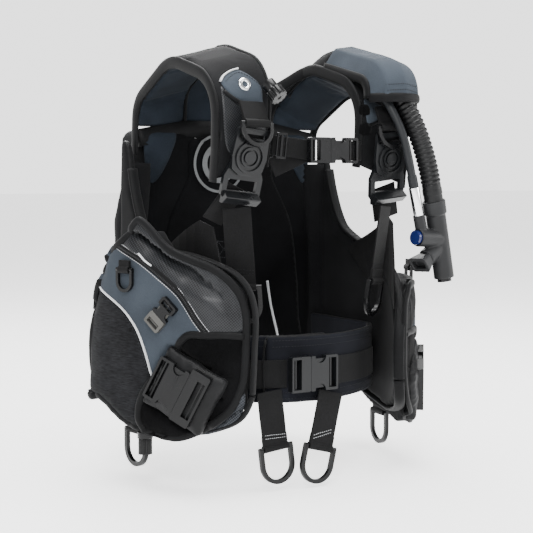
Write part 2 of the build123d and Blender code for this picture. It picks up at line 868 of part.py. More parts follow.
save(belt_and_tail.part, "waist_belt_left")
save(waist_socket, "waist_buckle_socket")
save(waist_plug, "waist_buckle_plug")
save(tail_right, "waist_tail_right")
save(waist_ring_right, "waist_ring_right")
save(waist_ring_left, "waist_ring_left")

# =====================================================================================
# chest strap
# =====================================================================================
chest_mouth = Plane(origin=(CHEST_MOUTH_X, CHEST_Y, CHEST_Z), x_dir=(-1, 0, 0), z_dir=(0, -1, 0))
chest_socket, chest_plug = side_release(
    chest_mouth, CHEST_BUCKLE, CHEST_SOCKET, CHEST_PLUG, BUCKLE_THICK - 1
)
chest_socket_end = CHEST_MOUTH_X + CHEST_SOCKET
chest_plug_end = CHEST_MOUTH_X - CHEST_PLUG - CLEAR
chest_back_y = CHEST_Y + BUCKLE_THICK / 2 + WEB
chest_left = flat_strap(
    (chest_socket_end - 5, chest_back_y, CHEST_Z), (SHOULDER_IN - 2, CHEST_ANCHOR_Y, CHEST_Z),
    (0, 0, 1), CHEST_WEB,
)
chest_upper = flat_strap(
    (chest_plug_end + 5, chest_back_y, CHEST_Z),
    (2 - SHOULDER_IN, CHEST_ANCHOR_Y, CHEST_Z + 6),
    (0, 0, 1), CHEST_WEB,
)
chest_lower = flat_strap(
    (chest_plug_end + 4, chest_back_y + 3 * WEB, CHEST_Z - 2),
    (8 - SHOULDER_IN, CHEST_ANCHOR_Y + 5 * WEB, CHEST_Z - 23),
    (0, 0, 1), CHEST_WEB,
)
with BuildPart() as chest_right:
    add(chest_upper)
    add(chest_lower)
slider_plane = Plane(
    origin=(-61, chest_back_y + 3, CHEST_Z + 5), x_dir=(-1, 0.13, 0.1), z_dir=(-0.13, -1, 0)
).offset(2 * WEB + 1)
with BuildPart() as chest_slider:
    with BuildSketch(slider_plane):
        RectangleRounded(14, CHEST_WEB + 8, 1.5)
        with Locations((-3.5, 0), (3.5, 0)):
            Rectangle(4, CHEST_WEB + 2, mode=Mode.SUBTRACT)
    extrude(amount=2.5)
save(chest_left, "chest_strap_left")
save(chest_right.part, "chest_strap_right")
save(chest_slider.part, "chest_slider")
save(chest_socket, "chest_buckle_socket")
save(chest_plug, "chest_buckle_plug")

# =====================================================================================
# weight pouches, with their release buckles
# =====================================================================================
with BuildPart() as weight_pouch:
    with Locations(pouch_plane):
        with Locations((0, 0, -POUCH_THICK / 2)):
            Box(POUCH_LENGTH, POUCH_WIDTH, POUCH_THICK)
pouch_mouth = pouch_plane.offset(BUCKLE_THICK / 2 + CLEAR)
pouch_socket, pouch_handle = side_release(
    pouch_mouth, POUCH_BUCKLE, POUCH_SOCKET, POUCH_PLUG, BUCKLE_THICK, grip=7
)
save(weight_pouch.part, "weight_pouch_right")
save(left_of(weight_pouch.part, LEFT_SAG), "weight_pouch_left")
save(pouch_handle, "pouch_handle_right")
save(left_of(pouch_handle, LEFT_SAG), "pouch_handle_left")
pull = pouch_plane.x_dir
print("pouch pull", tuple(round(v, 5) for v in pull))
print("pouch starts from", tuple(round(v, 2) for v in pouch_plane.origin))

# ---- accessory clip on the right pocket
clip_plane = pocket_plane(CLIP_S, CLIP_POCKET_Z, CLIP_OUT, CLIP_TURN)
clip_socket, clip_plug = side_release(clip_plane, CLIP_WIDTH, CLIP_SOCKET, CLIP_PLUG, 7.0)
with BuildPart() as pocket_sockets:
    add(both_sides(pouch_socket, LEFT_SAG))
    add(clip_socket)
save(pocket_sockets.part, "pocket_buckle_sockets")
save(clip_plug, "clip_plug")
print("clip pull", tuple(round(v, 5) for v in clip_plane.x_dir))
print("clip starts from", tuple(round(v, 2) for v in clip_plane.origin))


# ---- zips: the closed track along the top of each pocket, with its slider and puller
def zip_run(start, end):
    """One straight length of zip track lying just outside the pocket."""
    a, b = pocket_point(*start, ZIP_OUT), pocket_point(*end, ZIP_OUT)
    facing = (pocket_point(start[0], 0, 1) - pocket_point(start[0], 0)).normalized()
    return flat_strap(a, b, (b - a).cross(facing), ZIP_WIDTH, 1.6)


with BuildPart() as pocket_zip:
    for start, end in zip(ZIP_LINE, ZIP_LINE[1:]):
        add(zip_run(start, end))
    with BuildSketch(pocket_plane(*ZIP_LINE[-1], ZIP_OUT + 2.0, 54)):
        RectangleRounded(12, 8, 2)
        with Locations((17, 0)):
            SlotOverall(26, 6)
    extrude(amount=2.5, both=True)
save(both_sides(pocket_zip.part, LEFT_SAG), "pocket_zips")


# ---- small ring on the pocket and large ring under the lobe
def hung_ring(at, across, front, width, height, section, tab, name):
    """A D-ring hanging from a short webbing tab; returns the tab and the ring."""
    across, front = Vector(*across).normalized(), Vector(*front).normalized()
    up = front.cross(across)
    ring_plane = Plane(origin=at, x_dir=across, z_dir=front)
    tab_plane = Plane(origin=at, x_dir=up.cross(across), z_dir=across)
    print(name, "bar at", tuple(round(v, 2) for v in at), "axis", tuple(round(v, 4) for v in across))
    return keeper(tab_plane, tab, width - 2), d_ring(ring_plane, width, height, section)


small = pocket_plane(RING_S, RING_POCKET_Z, RING_OUT)
pocket_tab, pocket_ring = hung_ring(
    small.origin, small.x_dir, small.z_dir, CLIP_WEB, 29, 4.0, 12, "pocket_ring_right"
)
lobe_ring_tab, lobe_ring = hung_ring(
    Vector(*LOBE_RING), (0.15, -1, 0), (-1, -0.15, 0), WAIST_WEB, RING_HEIGHT, RING_SECTION, 13,
    "lobe_ring_right",
)
save(pocket_ring, "pocket_ring_right")
save(left_of(pocket_ring, LEFT_SAG), "pocket_ring_left")
save(lobe_ring, "lobe_ring_right")
save(left_of(lobe_ring, LEFT_SAG), "lobe_ring_left")
with BuildPart() as tabs:
    add(both_sides(gusset.part))
    add(both_sides(pocket_tab, LEFT_SAG))
    add(both_sides(lobe_ring_tab, LEFT_SAG))
save(tabs.part, "sewn_tabs")


# =====================================================================================
# valves
# =====================================================================================
def dump_valve(at, out, body_r, body_length, knob_r, knob_length, gap=1.0):
    """A pull dump: a round housing with a spindle, and a ribbed knob that slides on the spindle."""
    at, out = Vector(*at), Vector(*out).normalized()
    with BuildPart() as housing:
        with BuildSketch(Plane(origin=at, z_dir=out)):
            Circle(body_r)
        extrude(amount=body_length)
        with BuildSketch(Plane(origin=at + out * body_length, z_dir=out)):
            Circle(2.5)
        extrude(amount=knob_length)
    with BuildPart() as knob:
        with BuildSketch(Plane(origin=at + out * (body_length + gap), z_dir=out)):
            Circle(knob_r)
            with PolarLocations(knob_r, 12):
                Circle(1.4, mode=Mode.SUBTRACT)
            Circle(2.5 + CLEAR / 2, mode=Mode.SUBTRACT)
        extrude(amount=knob_length)
    return housing.part, knob.part


shoulder_dump, dump_knob = dump_valve(SHOULDER_DUMP, DUMP_DIR, 9.0, 12.0, 11.5, 13.0)
rear_dump, rear_knob = dump_valve(REAR_DUMP, (0, 0, -1), 10.0, 8.0, 9.0, 20.0)
with BuildPart() as dump_housings:
    add(shoulder_dump)
    add(rear_dump)
save(dump_housings.part, "dump_valve_housings")
save(dump_knob, "shoulder_dump_knob")
save(rear_knob, "rear_dump_knob")

# =====================================================================================
# hoses, power inflator and the flap over the hoses
# =====================================================================================


def hose(route, diameter, name):
    """A free hose: straight runs joined by tangent arcs, each as large as its runs allow."""
    pts = [Vector(*p) for p in route]
    radii = []
    for before, corner, after in zip(pts, pts[1:], pts[2:]):
        run_in, run_out = corner - before, after - corner
        half_turn = math.radians(run_in.get_angle(run_out)) / 2
        radii.append(ARC_SHARE * min(run_in.length, run_out.length) / math.tan(half_turn))
    with BuildPart() as tube:
        with BuildLine() as path:
            FilletPolyline(*pts, radius=radii)
        with BuildSketch(Plane(origin=pts[0], z_dir=pts[1] - pts[0])):
            Circle(diameter / 2)
        sweep()
    length = path.wires()[0].length
    expected = math.pi * diameter**2 / 4 * length
    print(name, "radii", [round(r) for r in radii], "length", round(length, 1),
          "volume ratio", round(tube.part.volume / expected, 4))
    return tube.part


save(hose(HOSE_ROUTE, HOSE_D, "inflator_hose"), "inflator_hose")
save(hose(LP_ROUTE, LP_HOSE_D, "lp_hose"), "lp_hose")

hose_end, hose_before = Vector(*HOSE_ROUTE[-1]), Vector(*HOSE_ROUTE[-2])
hose_dir = (hose_end - hose_before).normalized()
lp_end, lp_before = Vector(*LP_ROUTE[-1]), Vector(*LP_ROUTE[-2])
lp_dir = (lp_end - lp_before).normalized()
body_foot = hose_end + hose_dir * BODY_LENGTH
mouth_at, button_at, foot_at = Vector(*MOUTH_AT), Vector(*BUTTON_AT), Vector(*FOOT_AT)
button_out = (button_at - Vector(*BUTTON_ROOT)).normalized()
foot_dir = (foot_at - body_foot).normalized()
mouth_dir = (mouth_at - body_foot).normalized()
barrel_r = BUTTON_R + 2.5
well = 8.0
with BuildPart() as inflator_body:
    add(rod(hose_end, hose_end + hose_dir * 18, HOSE_D / 2 + 2))
    add(rod(hose_end + hose_dir * 18, body_foot, HOSE_D / 2))
    add(rod(body_foot, foot_at, HOSE_D / 2))
    add(rod(body_foot, mouth_at, barrel_r))
    add(rod(BUTTON_ROOT, button_at, barrel_r))
    add(rod(lp_end + lp_dir * COUPLING, lp_end + lp_dir * (COUPLING + 24), 8))
    for mouth, out in ((button_at, button_out), (foot_at, foot_dir)):
        add(rod(mouth - out * well, mouth + out, BUTTON_R + CLEAR), mode=Mode.SUBTRACT)
flare = 17.0
flare_end = Plane(origin=mouth_at + mouth_dir * flare, x_dir=(0, 1, 0), z_dir=mouth_dir)
with BuildPart() as mouthpiece:
    with BuildSketch(flare_end.offset(-flare)):
        RectangleRounded(22, 17, 5)
    with BuildSketch(flare_end):
        RectangleRounded(34, 22, 5)
    loft()
    with BuildSketch(flare_end):
        RectangleRounded(*MOUTH_HOLLOW, 4)
    extrude(amount=-MOUTH_DEPTH, mode=Mode.SUBTRACT)
coupling = rod(lp_end, lp_end + lp_dir * COUPLING, 7)
button_in = 3.0
inflate_button = rod(button_at - button_out * button_in, button_at + button_out * 5, BUTTON_R)
deflate_button = rod(foot_at - foot_dir * button_in, foot_at + foot_dir * 4.5, BUTTON_R)
save(inflator_body.part, "inflator_body")
save(mouthpiece.part, "mouthpiece")
save(coupling, "lp_coupling")
save(inflate_button, "inflate_button")
save(deflate_button, "deflate_button")
print("button axis", tuple(round(v, 4) for v in button_out))
print("deflate axis", tuple(round(v, 4) for v in foot_dir))

# the flap is an arch of fabric over both hoses, carried along the left shoulder
flap_start = Plane(
    origin=(FLAP_IN, *FLAP_PATH[0]), x_dir=(1, 0, 0),
    z_dir=(0, FLAP_PATH[1][0] - FLAP_PATH[0][0], FLAP_PATH[1][1] - FLAP_PATH[0][1]),
)
with BuildPart() as hose_flap:
    with BuildLine(Plane.YZ.offset(FLAP_IN)):
        FilletPolyline(*FLAP_PATH, radius=24)
    with BuildSketch(flap_start):
        with BuildLine():
            FilletPolyline(*FLAP_ARCH, radius=6)
        trace(line_width=SKIN)
    sweep()
save(hose_flap.part, "hose_flap")
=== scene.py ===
import json
import math

import bmesh
import bpy
import numpy as np
from mathutils import Matrix, Vector, noise
from mathutils.bvhtree import BVHTree
from mathutils.geometry import delaunay_2d_cdt


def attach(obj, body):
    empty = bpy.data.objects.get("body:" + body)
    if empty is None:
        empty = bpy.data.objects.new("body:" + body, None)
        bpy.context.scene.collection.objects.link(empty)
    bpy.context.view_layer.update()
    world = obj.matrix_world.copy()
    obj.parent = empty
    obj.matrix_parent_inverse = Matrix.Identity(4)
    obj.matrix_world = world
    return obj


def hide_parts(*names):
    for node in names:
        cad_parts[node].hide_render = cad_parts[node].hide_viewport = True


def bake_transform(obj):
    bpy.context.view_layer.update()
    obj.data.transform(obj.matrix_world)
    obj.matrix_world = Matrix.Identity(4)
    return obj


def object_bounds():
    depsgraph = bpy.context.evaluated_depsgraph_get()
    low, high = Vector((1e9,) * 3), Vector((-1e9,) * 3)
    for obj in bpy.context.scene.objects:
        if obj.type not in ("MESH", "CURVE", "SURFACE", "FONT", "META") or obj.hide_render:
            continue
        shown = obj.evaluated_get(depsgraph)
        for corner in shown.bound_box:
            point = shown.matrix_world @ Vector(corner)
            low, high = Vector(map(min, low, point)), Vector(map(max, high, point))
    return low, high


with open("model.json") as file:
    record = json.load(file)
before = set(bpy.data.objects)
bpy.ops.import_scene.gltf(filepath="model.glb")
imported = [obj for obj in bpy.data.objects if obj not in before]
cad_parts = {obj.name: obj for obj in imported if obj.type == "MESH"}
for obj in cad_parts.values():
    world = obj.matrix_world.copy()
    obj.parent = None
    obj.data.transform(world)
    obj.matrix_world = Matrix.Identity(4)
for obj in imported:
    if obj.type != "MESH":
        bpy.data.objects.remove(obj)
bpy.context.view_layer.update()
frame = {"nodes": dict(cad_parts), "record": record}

# Lengths in this script are in millimetres, and MM turns them into the frame's metres.
MM = 0.001
BODY_OF = {
    node: body
    for body, nodes in frame["record"]["behaviour"]["bodies"].items()
    for node in nodes
}
SLOT_OF = {s["node"]: s["material_slot"] for s in frame["record"]["subparts"]}
WELD = 0.02 * MM
LEFT_SAG = 14.0
UV_SIZE = 100.0

# ---------------------------------------------------------------- camera
AZIMUTH = math.radians(-32)
ELEVATION = math.radians(4)
DISTANCE = 1730.0
TARGET = Vector((-9, 0, 126))
back = Vector(
    (
        math.sin(AZIMUTH) * math.cos(ELEVATION),
        -math.cos(AZIMUTH) * math.cos(ELEVATION),
        math.sin(ELEVATION),
    )
)
camera_data = bpy.data.cameras.new("camera")
camera_data.lens = 85
camera_data.sensor_width = 36
camera = bpy.data.objects.new("camera", camera_data)
camera.location = (TARGET + back * DISTANCE) * MM
camera.rotation_mode = "QUATERNION"
camera.rotation_quaternion = (-back).to_track_quat("-Z", "Y")
bpy.context.scene.collection.objects.link(camera)
bpy.context.scene.camera = camera


# ---------------------------------------------------------------- materials
def shader(name, rough, metal=0.0, sheen=0.0, coat=0.0, gloss=0.5):
    """A material whose uniform values sit on the shader's own sockets."""
    made = bpy.data.materials.new(name)
    made.use_nodes = True
    node = made.node_tree.nodes["Principled BSDF"]
    node.inputs["Roughness"].default_value = rough
    node.inputs["Metallic"].default_value = metal
    node.inputs["Sheen Weight"].default_value = sheen
    node.inputs["Coat Weight"].default_value = coat
    node.inputs["Specular IOR Level"].default_value = gloss
    return made, node


def link(tree, source, target):
    tree.links.new(source, target)


def coords(tree, scale=(1, 1, 1), turn=(0, 0, 0)):
    """Object coordinates in millimetres, scaled and turned."""
    place = tree.nodes.new("ShaderNodeTexCoord")
    mapping = tree.nodes.new("ShaderNodeMapping")
    mapping.inputs["Scale"].default_value = [s / MM for s in scale]
    mapping.inputs["Rotation"].default_value = [math.radians(t) for t in turn]
    link(tree, place.outputs["Object"], mapping.inputs["Vector"])
    return mapping.outputs["Vector"]


def speckle(tree, scale, detail=3.0, stretch=(1, 1, 1), turn=(0, 0, 0)):
    tex = tree.nodes.new("ShaderNodeTexNoise")
    tex.inputs["Scale"].default_value = scale
    tex.inputs["Detail"].default_value = detail
    link(tree, coords(tree, stretch, turn), tex.inputs["Vector"])
    return tex.outputs["Fac"]


def ramp(tree, fac, stops):
    node = tree.nodes.new("ShaderNodeValToRGB")
    while len(node.color_ramp.elements) < len(stops):
        node.color_ramp.elements.new(0.5)
    for element, (at, colour) in zip(node.color_ramp.elements, stops):
        element.position = at
        element.color = (*colour, 1)
    link(tree, fac, node.inputs["Fac"])
    return node.outputs["Color"]


def combine(tree, a, b, operation="ADD"):
    node = tree.nodes.new("ShaderNodeMath")
    node.operation = operation
    link(tree, a, node.inputs[0])
    if isinstance(b, float):
        node.inputs[1].default_value = b
    else:
        link(tree, b, node.inputs[1])
    return node.outputs[0]


def threads_of(tree, pitch, turn=(0, 0, 0)):
    """Fine broken threads that run two ways, with no grid that could beat against the picture."""
    across = speckle(tree, 1.1 / pitch, 2.0, (1, 1, 0.5), turn)
    along = speckle(tree, 1.1 / pitch, 2.0, (0.5, 0.5, 1), turn)
    return combine(tree, combine(tree, across, along), 0.5, "MULTIPLY")


def bump(tree, node, height, strength, distance=0.3):
    made = tree.nodes.new("ShaderNodeBump")
    made.inputs["Strength"].default_value = strength
    made.inputs["Distance"].default_value = distance * MM
    link(tree, height, made.inputs["Height"])
    link(tree, made.outputs["Normal"], node.inputs["Normal"])


def tint(colour, factor):
    return tuple(c * factor for c in colour)


def cloth(name, colour, pitch=0.9, rough=0.82, sheen=0.02, contrast=0.35, strength=0.5,
          turn=(0, 0, 0), patches=0.02, slub=None, gloss=0.06):
    """Woven fabric: threads, tonal patches and a soft sheen."""
    made, node = shader(name, rough, sheen=sheen, gloss=gloss)
    tree = made.node_tree
    threads = threads_of(tree, pitch, turn)
    tone = speckle(tree, patches, 4.0)
    mixed = combine(tree, combine(tree, threads, 0.5, "MULTIPLY"), combine(tree, tone, 0.5, "MULTIPLY"))
    if slub:
        streaks = speckle(tree, 1.0, 4.0, slub, turn)
        mixed = combine(tree, combine(tree, mixed, 0.4, "MULTIPLY"),
                        combine(tree, streaks, 0.6, "MULTIPLY"))
    low, high = tint(colour, 1 - contrast), tint(colour, 1 + contrast)
    link(tree, ramp(tree, mixed, [(0.38, low), (0.62, high)]), node.inputs["Base Color"])
    bump(tree, node, threads, strength)
    node.inputs["Sheen Roughness"].default_value = 0.5
    return made


def plastic(name, colour, rough=0.4, grain=0.8, coat=0.0, gloss=0.35):
    """Moulded plastic: fine grain, worn sheen."""
    made, node = shader(name, rough, coat=coat, gloss=gloss)
    tree = made.node_tree
    fine = speckle(tree, grain, 2.0)
    wide = speckle(tree, 0.03, 3.0)
    link(
        tree,
        ramp(tree, wide, [(0.3, tint(colour, 0.8)), (0.7, tint(colour, 1.25))]),
        node.inputs["Base Color"],
    )
    rough_node = tree.nodes.new("ShaderNodeMapRange")
    rough_node.inputs["To Min"].default_value = rough * 0.8
    rough_node.inputs["To Max"].default_value = rough * 1.25
    link(tree, wide, rough_node.inputs["Value"])
    link(tree, rough_node.outputs["Result"], node.inputs["Roughness"])
    bump(tree, node, fine, 0.15, 0.1)
    return made


def net(name, dark, light, pitch, rough=0.35, gloss=0.3):
    """Coated mesh cloth: a grid of small holes with brighter threads round them."""
    made, node = shader(name, rough, gloss=gloss)
    tree = made.node_tree
    cells = tree.nodes.new("ShaderNodeTexVoronoi")
    cells.voronoi_dimensions = "2D"
    cells.inputs["Scale"].default_value = 1 / pitch
    cells.inputs["Randomness"].default_value = 0.1
    flat = tree.nodes.new("ShaderNodeUVMap")
    flat.uv_map = "flat"
    spread = tree.nodes.new("ShaderNodeMapping")
    spread.inputs["Scale"].default_value = (UV_SIZE, UV_SIZE, 1)
    spread.inputs["Rotation"].default_value = (0, 0, math.radians(40))
    link(tree, flat.outputs["UV"], spread.inputs["Vector"])
    link(tree, spread.outputs["Vector"], cells.inputs["Vector"])
    patches = speckle(tree, 0.03, 2.0)
    fac = combine(tree, cells.outputs["Distance"], combine(tree, patches, 0.3, "MULTIPLY"))
    link(tree, ramp(tree, fac, [(0.45, light), (0.72, dark)]), node.inputs["Base Color"])
    bump(tree, node, cells.outputs["Distance"], 0.4, 0.4)
    return made


NYLON = cloth("black_nylon", (0.0034, 0.0035, 0.0039), 0.8, contrast=0.5)
DULL = cloth("dull_lining", (0.0020, 0.0021, 0.0024), 0.7, contrast=0.45, gloss=0.03)
NAVY = cloth("slate_lining", (0.0078, 0.0105, 0.0145), 0.7, contrast=0.4)
HEATHER = cloth("heather_black", (0.0066, 0.0069, 0.0077), 0.9, contrast=0.75, slub=(0.10, 0.10, 0.8),
                turn=(0, 10, 0))
SLATE = cloth("slate_panel", (0.027, 0.033, 0.041), 0.8, contrast=0.2)
BINDING = cloth("binding_tape", (0.0022, 0.0023, 0.0026), 1.1, rough=0.6, contrast=0.4, strength=0.8,
                gloss=0.09)
WEBBING = cloth("webbing", (0.0030, 0.0030, 0.0032), 1.3, rough=0.65, contrast=0.5, strength=1.0,
                gloss=0.08)
POUCH_CLOTH = cloth("pouch_cloth", (0.0030, 0.0031, 0.0035), 0.6, rough=0.5, contrast=0.35, gloss=0.14)
VELCRO = cloth("hook_and_loop", (0.0018, 0.0018, 0.0020), 1.2, rough=0.95, contrast=0.7, strength=1.6,
               gloss=0.04)
CUMMER = cloth("cummerbund_cloth", (0.0042, 0.0046, 0.0066), 0.6, contrast=0.4)
KHAKI = plastic("grey_clip", (0.052, 0.051, 0.047), 0.5, 1.0, gloss=0.2)
MESH_CLOTH = net("coated_mesh", (0.0010, 0.0011, 0.0012), (0.019, 0.020, 0.022), 2.6, gloss=0.14)
PALE_MESH = net("pale_mesh", (0.008, 0.009, 0.011), (0.040, 0.043, 0.048), 2.6, 0.85, gloss=0.04)
PIPING = cloth("white_piping", (0.42, 0.43, 0.44), 0.7, rough=0.45, contrast=0.1, strength=0.4)
THREAD = cloth("pale_thread", (0.30, 0.305, 0.315), 0.4, rough=0.6, contrast=0.15, strength=0.3)
DARK_THREAD = cloth("dark_thread", (0.014, 0.0145, 0.016), 0.4, rough=0.6, contrast=0.2)
BLACK_PLASTIC = plastic("black_plastic", (0.0026, 0.0027, 0.0030), 0.26, gloss=0.2)
GREY_PLASTIC = plastic("dark_grey_plastic", (0.0040, 0.0044, 0.0050), 0.28, gloss=0.24)
RUBBER = plastic("black_rubber", (0.0036, 0.0037, 0.0040), 0.42, 0.5, gloss=0.18)
BODY_PLASTIC = plastic("inflator_plastic", (0.0115, 0.0118, 0.0125), 0.45, 0.6, gloss=0.16)
HOSE_GREY = plastic("braided_hose", (0.0080, 0.0088, 0.0100), 0.45, 1.2, gloss=0.18)
EMBLEM = cloth("printed_grey", (0.085, 0.088, 0.09), 0.7, contrast=0.25)
BLUE = plastic("blue_button", (0.004, 0.008, 0.050), 0.2, coat=0.3)
CHROME, chrome_node = shader("polished_metal", 0.16, metal=1.0)
chrome_node.inputs["Base Color"].default_value = (0.78, 0.79, 0.8, 1)
bump(CHROME.node_tree, chrome_node, speckle(CHROME.node_tree, 0.4, 2.0), 0.05, 0.1)


# ---------------------------------------------------------------- mesh helpers
def piece(name, verts, faces, material, body="root", smooth=True, extra=()):
    """A new mesh piece, its points in millimetres, riding on a body."""
    mesh = bpy.data.meshes.new(name)
    mesh.from_pydata([Vector(v) * MM for v in verts], [], faces)
    mesh.materials.append(material)
    for other in extra:
        mesh.materials.append(other)
    mesh.polygons.foreach_set("use_smooth", [smooth] * len(mesh.polygons))
    mesh.update()
    obj = linked(name, mesh)
    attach(obj, body)
    return obj


def linked(name, data):
    """A new object in the scene."""
    obj = bpy.data.objects.new(name, data)
    bpy.context.scene.collection.objects.link(obj)
    return obj


def oval(half_width, half_height, count=14):
    """The section of a rounded edge: an oval of points."""
    turns = [2 * math.pi * k / count for k in range(count)]
    return [(math.cos(a) * half_width, math.sin(a) * half_height) for a in turns]


def final_mesh(obj):
    """The object's mesh with its modifiers applied."""
    graph = bpy.context.evaluated_depsgraph_get()
    return bpy.data.meshes.new_from_object(obj.evaluated_get(graph))


def settle(obj):
    """Applies every modifier."""
    mesh = final_mesh(obj)
    obj.modifiers.clear()
    obj.data = mesh


def node_mesh(node):
    """A welded copy of a CAD node's mesh."""
    mesh = frame["nodes"][node].data.copy()
    work = bmesh.new()
    work.from_mesh(mesh)
    bmesh.ops.remove_doubles(work, verts=work.verts, dist=WELD)
    work.to_mesh(mesh)
    work.free()
    mesh.materials.clear()
    return mesh


def points_of(mesh):
    co = np.empty(len(mesh.vertices) * 3)
    mesh.vertices.foreach_get("co", co)
    return co.reshape(-1, 3)


def put_points(mesh, co):
    mesh.vertices.foreach_set("co", co.ravel())
    mesh.update()


def swell(obj, pressure, cap, frames=14):
    """Blows the mesh up as sewn cloth, no point going further than cap from where it was."""
    rest = points_of(obj.data)
    scene = bpy.context.scene
    mod = obj.modifiers.new("swell", "CLOTH")
    mod.settings.use_pressure = True
    mod.settings.uniform_pressure_force = pressure
    mod.settings.tension_stiffness = 22
    mod.settings.compression_stiffness = 10
    mod.settings.bending_stiffness = 1.2
    mod.settings.effector_weights.gravity = 0
    mod.point_cache.frame_end = frames + 1
    for number in range(1, frames + 1):
        scene.frame_set(number)
    mesh = final_mesh(obj)
    moved = points_of(mesh) - rest
    length = np.linalg.norm(moved, axis=1, keepdims=True)
    put_points(mesh, rest + moved * np.minimum(1, cap * MM / np.maximum(length, 1e-9)))
    obj.modifiers.clear()
    obj.data = mesh
    scene.frame_set(1)


def ripple(obj, amount, size, seed=0.0):
    """Soft folds: moves points along their normals by smooth noise."""
    co = points_of(obj.data)
    normals = np.empty(len(co) * 3)
    obj.data.vertices.foreach_get("normal", normals)
    normals = normals.reshape(-1, 3)
    for i, p in enumerate(co):
        value = noise.noise(Vector(p) / (size * MM) + Vector((seed, seed, seed)))
        co[i] = p + normals[i] * (value * amount * MM)
    put_points(obj.data, co)


def remeshed(node, name, voxel, smooth):
    """A rounded copy of a CAD node, made of even small faces."""
    obj = linked(name, node_mesh(node))
    remesh = obj.modifiers.new("remesh", "REMESH")
    remesh.mode = "VOXEL"
    remesh.voxel_size = voxel * MM
    relax = obj.modifiers.new("relax", "SMOOTH")
    relax.factor = 0.5
    relax.iterations = smooth
    settle(obj)
    return obj


def stands_for(obj, node):
    """The piece takes the CAD node's place and body; the node itself is hidden."""
    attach(obj, BODY_OF[node])
    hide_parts(node)


def soft_piece(node, voxel, materials, wall=None, pressure=4.0, cap=4.0, folds=1.0,
               fold_size=38.0, smooth=6):
    """Padded fabric in the place of a CAD solid: rounded, swollen and creased."""
    obj = remeshed(node, node + "_cloth", voxel, smooth)
    if pressure:
        swell(obj, pressure, cap)
    if folds:
        ripple(obj, folds, fold_size, seed=len(node) * 1.7)
    for material in materials:
        obj.data.materials.append(material)
    if wall:
        for face in obj.data.polygons:
            face.material_index = wall(face.center / MM, face.normal)
    obj.data.polygons.foreach_set("use_smooth", [True] * len(obj.data.polygons))
    stands_for(obj, node)
    return obj


def tree_of(*objs):
    verts, faces = [], []
    for obj in objs:
        start = len(verts)
        verts += [obj.matrix_world @ v.co for v in obj.data.vertices]
        faces += [[start + i for i in f.vertices] for f in obj.data.polygons]
    return BVHTree.FromPolygons(verts, faces)


def smooth_line(points, step, closed=False, rounds=3):
    """A smooth line through the points, resampled at even steps."""
    pts = np.array(points, float)
    for _ in range(rounds):
        if closed:
            nxt = np.roll(pts, -1, axis=0)
            prv = np.roll(pts, 1, axis=0)
            nn = np.roll(pts, -2, axis=0)
            mid = (9 * (pts + nxt) - prv - nn) / 16
            pts = np.stack([pts, mid], 1).reshape(-1, pts.shape[1])
        else:
            ext = np.vstack([2 * pts[0] - pts[1], pts, 2 * pts[-1] - pts[-2]])
            mid = (9 * (ext[1:-2] + ext[2:-1]) - ext[:-3] - ext[3:]) / 16
            out = np.empty((2 * len(pts) - 1, pts.shape[1]))
            out[0::2] = pts
            out[1::2] = mid
            pts = out
    if closed:
        pts = np.vstack([pts, pts[:1]])
    run = np.concatenate([[0], np.cumsum(np.linalg.norm(np.diff(pts, axis=0), axis=1))])
    count = max(2, int(round(run[-1] / step)))
    at = np.linspace(0, run[-1], count + 1)
    if closed:
        at = at[:-1]
    return np.stack([np.interp(at, run, pts[:, k]) for k in range(pts.shape[1])], 1)


class Skin:
    """A soft surface seen along rays: place(a, b) gives a ray's start, direction and usual depth."""

    def __init__(self, place, *objs):
        self.place = place
        self.tree = tree_of(*objs)

    def at(self, a, b, lift=0.0):
        start, along, depth = self.place(a, b)
        hit = self.tree.ray_cast(start * MM, along, (depth + 30) * MM)[0]
        base = start + along * depth if hit is None else hit / MM
        return base - along * lift

    def frame_at(self, a, b, lift=0.0):
        p = self.at(a, b, lift)
        return p, -self.place(a, b)[1]


def strip(name, line, section, ups, material, closed=False):
    """Sweeps a cross-section of (across, up) points along a 3-D line; ups are its outward directions."""
    verts, faces = [], []
    count, width = len(line), len(section)
    for i in range(count):
        before = line[i - 1] if i or closed else line[i]
        after = line[(i + 1) % count] if i < count - 1 or closed else line[i]
        along = (Vector(after) - Vector(before)).normalized()
        up = (ups[i] - along * ups[i].dot(along)).normalized()
        side = along.cross(up)
        verts += [Vector(line[i]) + side * x + up * y for x, y in section]
    for i in range(count if closed else count - 1):
        for j in range(width):
            a, b = i * width + j, i * width + (j + 1) % width
            c, d = (i + 1) % count * width + (j + 1) % width, (i + 1) % count * width + j
            faces.append((a, d, c, b))
    if not closed:
        faces.append(tuple(range(width)))
        faces.append(tuple(reversed(range((count - 1) * width, count * width))))
    return piece(name, verts, faces, material)


def dome(width, height, sink=1.5, parts=8):
    """The section of a rounded band, its foot sunk into the cloth."""
    arc = [
        (-math.cos(math.pi * i / parts) * width / 2, math.sin(math.pi * i / parts) * height)
        for i in range(parts + 1)
    ]
    return [(arc[0][0], -sink)] + arc + [(arc[-1][0], -sink)]


def trim(name, skin, line, width, height, material, closed=False, step=4.0, lift=0.3):
    """A band, piping or binding that follows a line on a skin."""
    flat = smooth_line(line, step, closed)
    spots, ups = [], []
    for a, b in flat:
        p, up = skin.frame_at(a, b, lift)
        spots.append(p)
        ups.append(up)
    if len(spots) > 6:
        relaxed = [Vector(p) for p in spots]
        for i in range(1, len(spots) - 1):
            relaxed[i] = spots[i] * 0.5 + (spots[i - 1] + spots[i + 1]) * 0.25
        spots = relaxed
    return strip(name, spots, dome(width, height), ups, material, closed=closed)


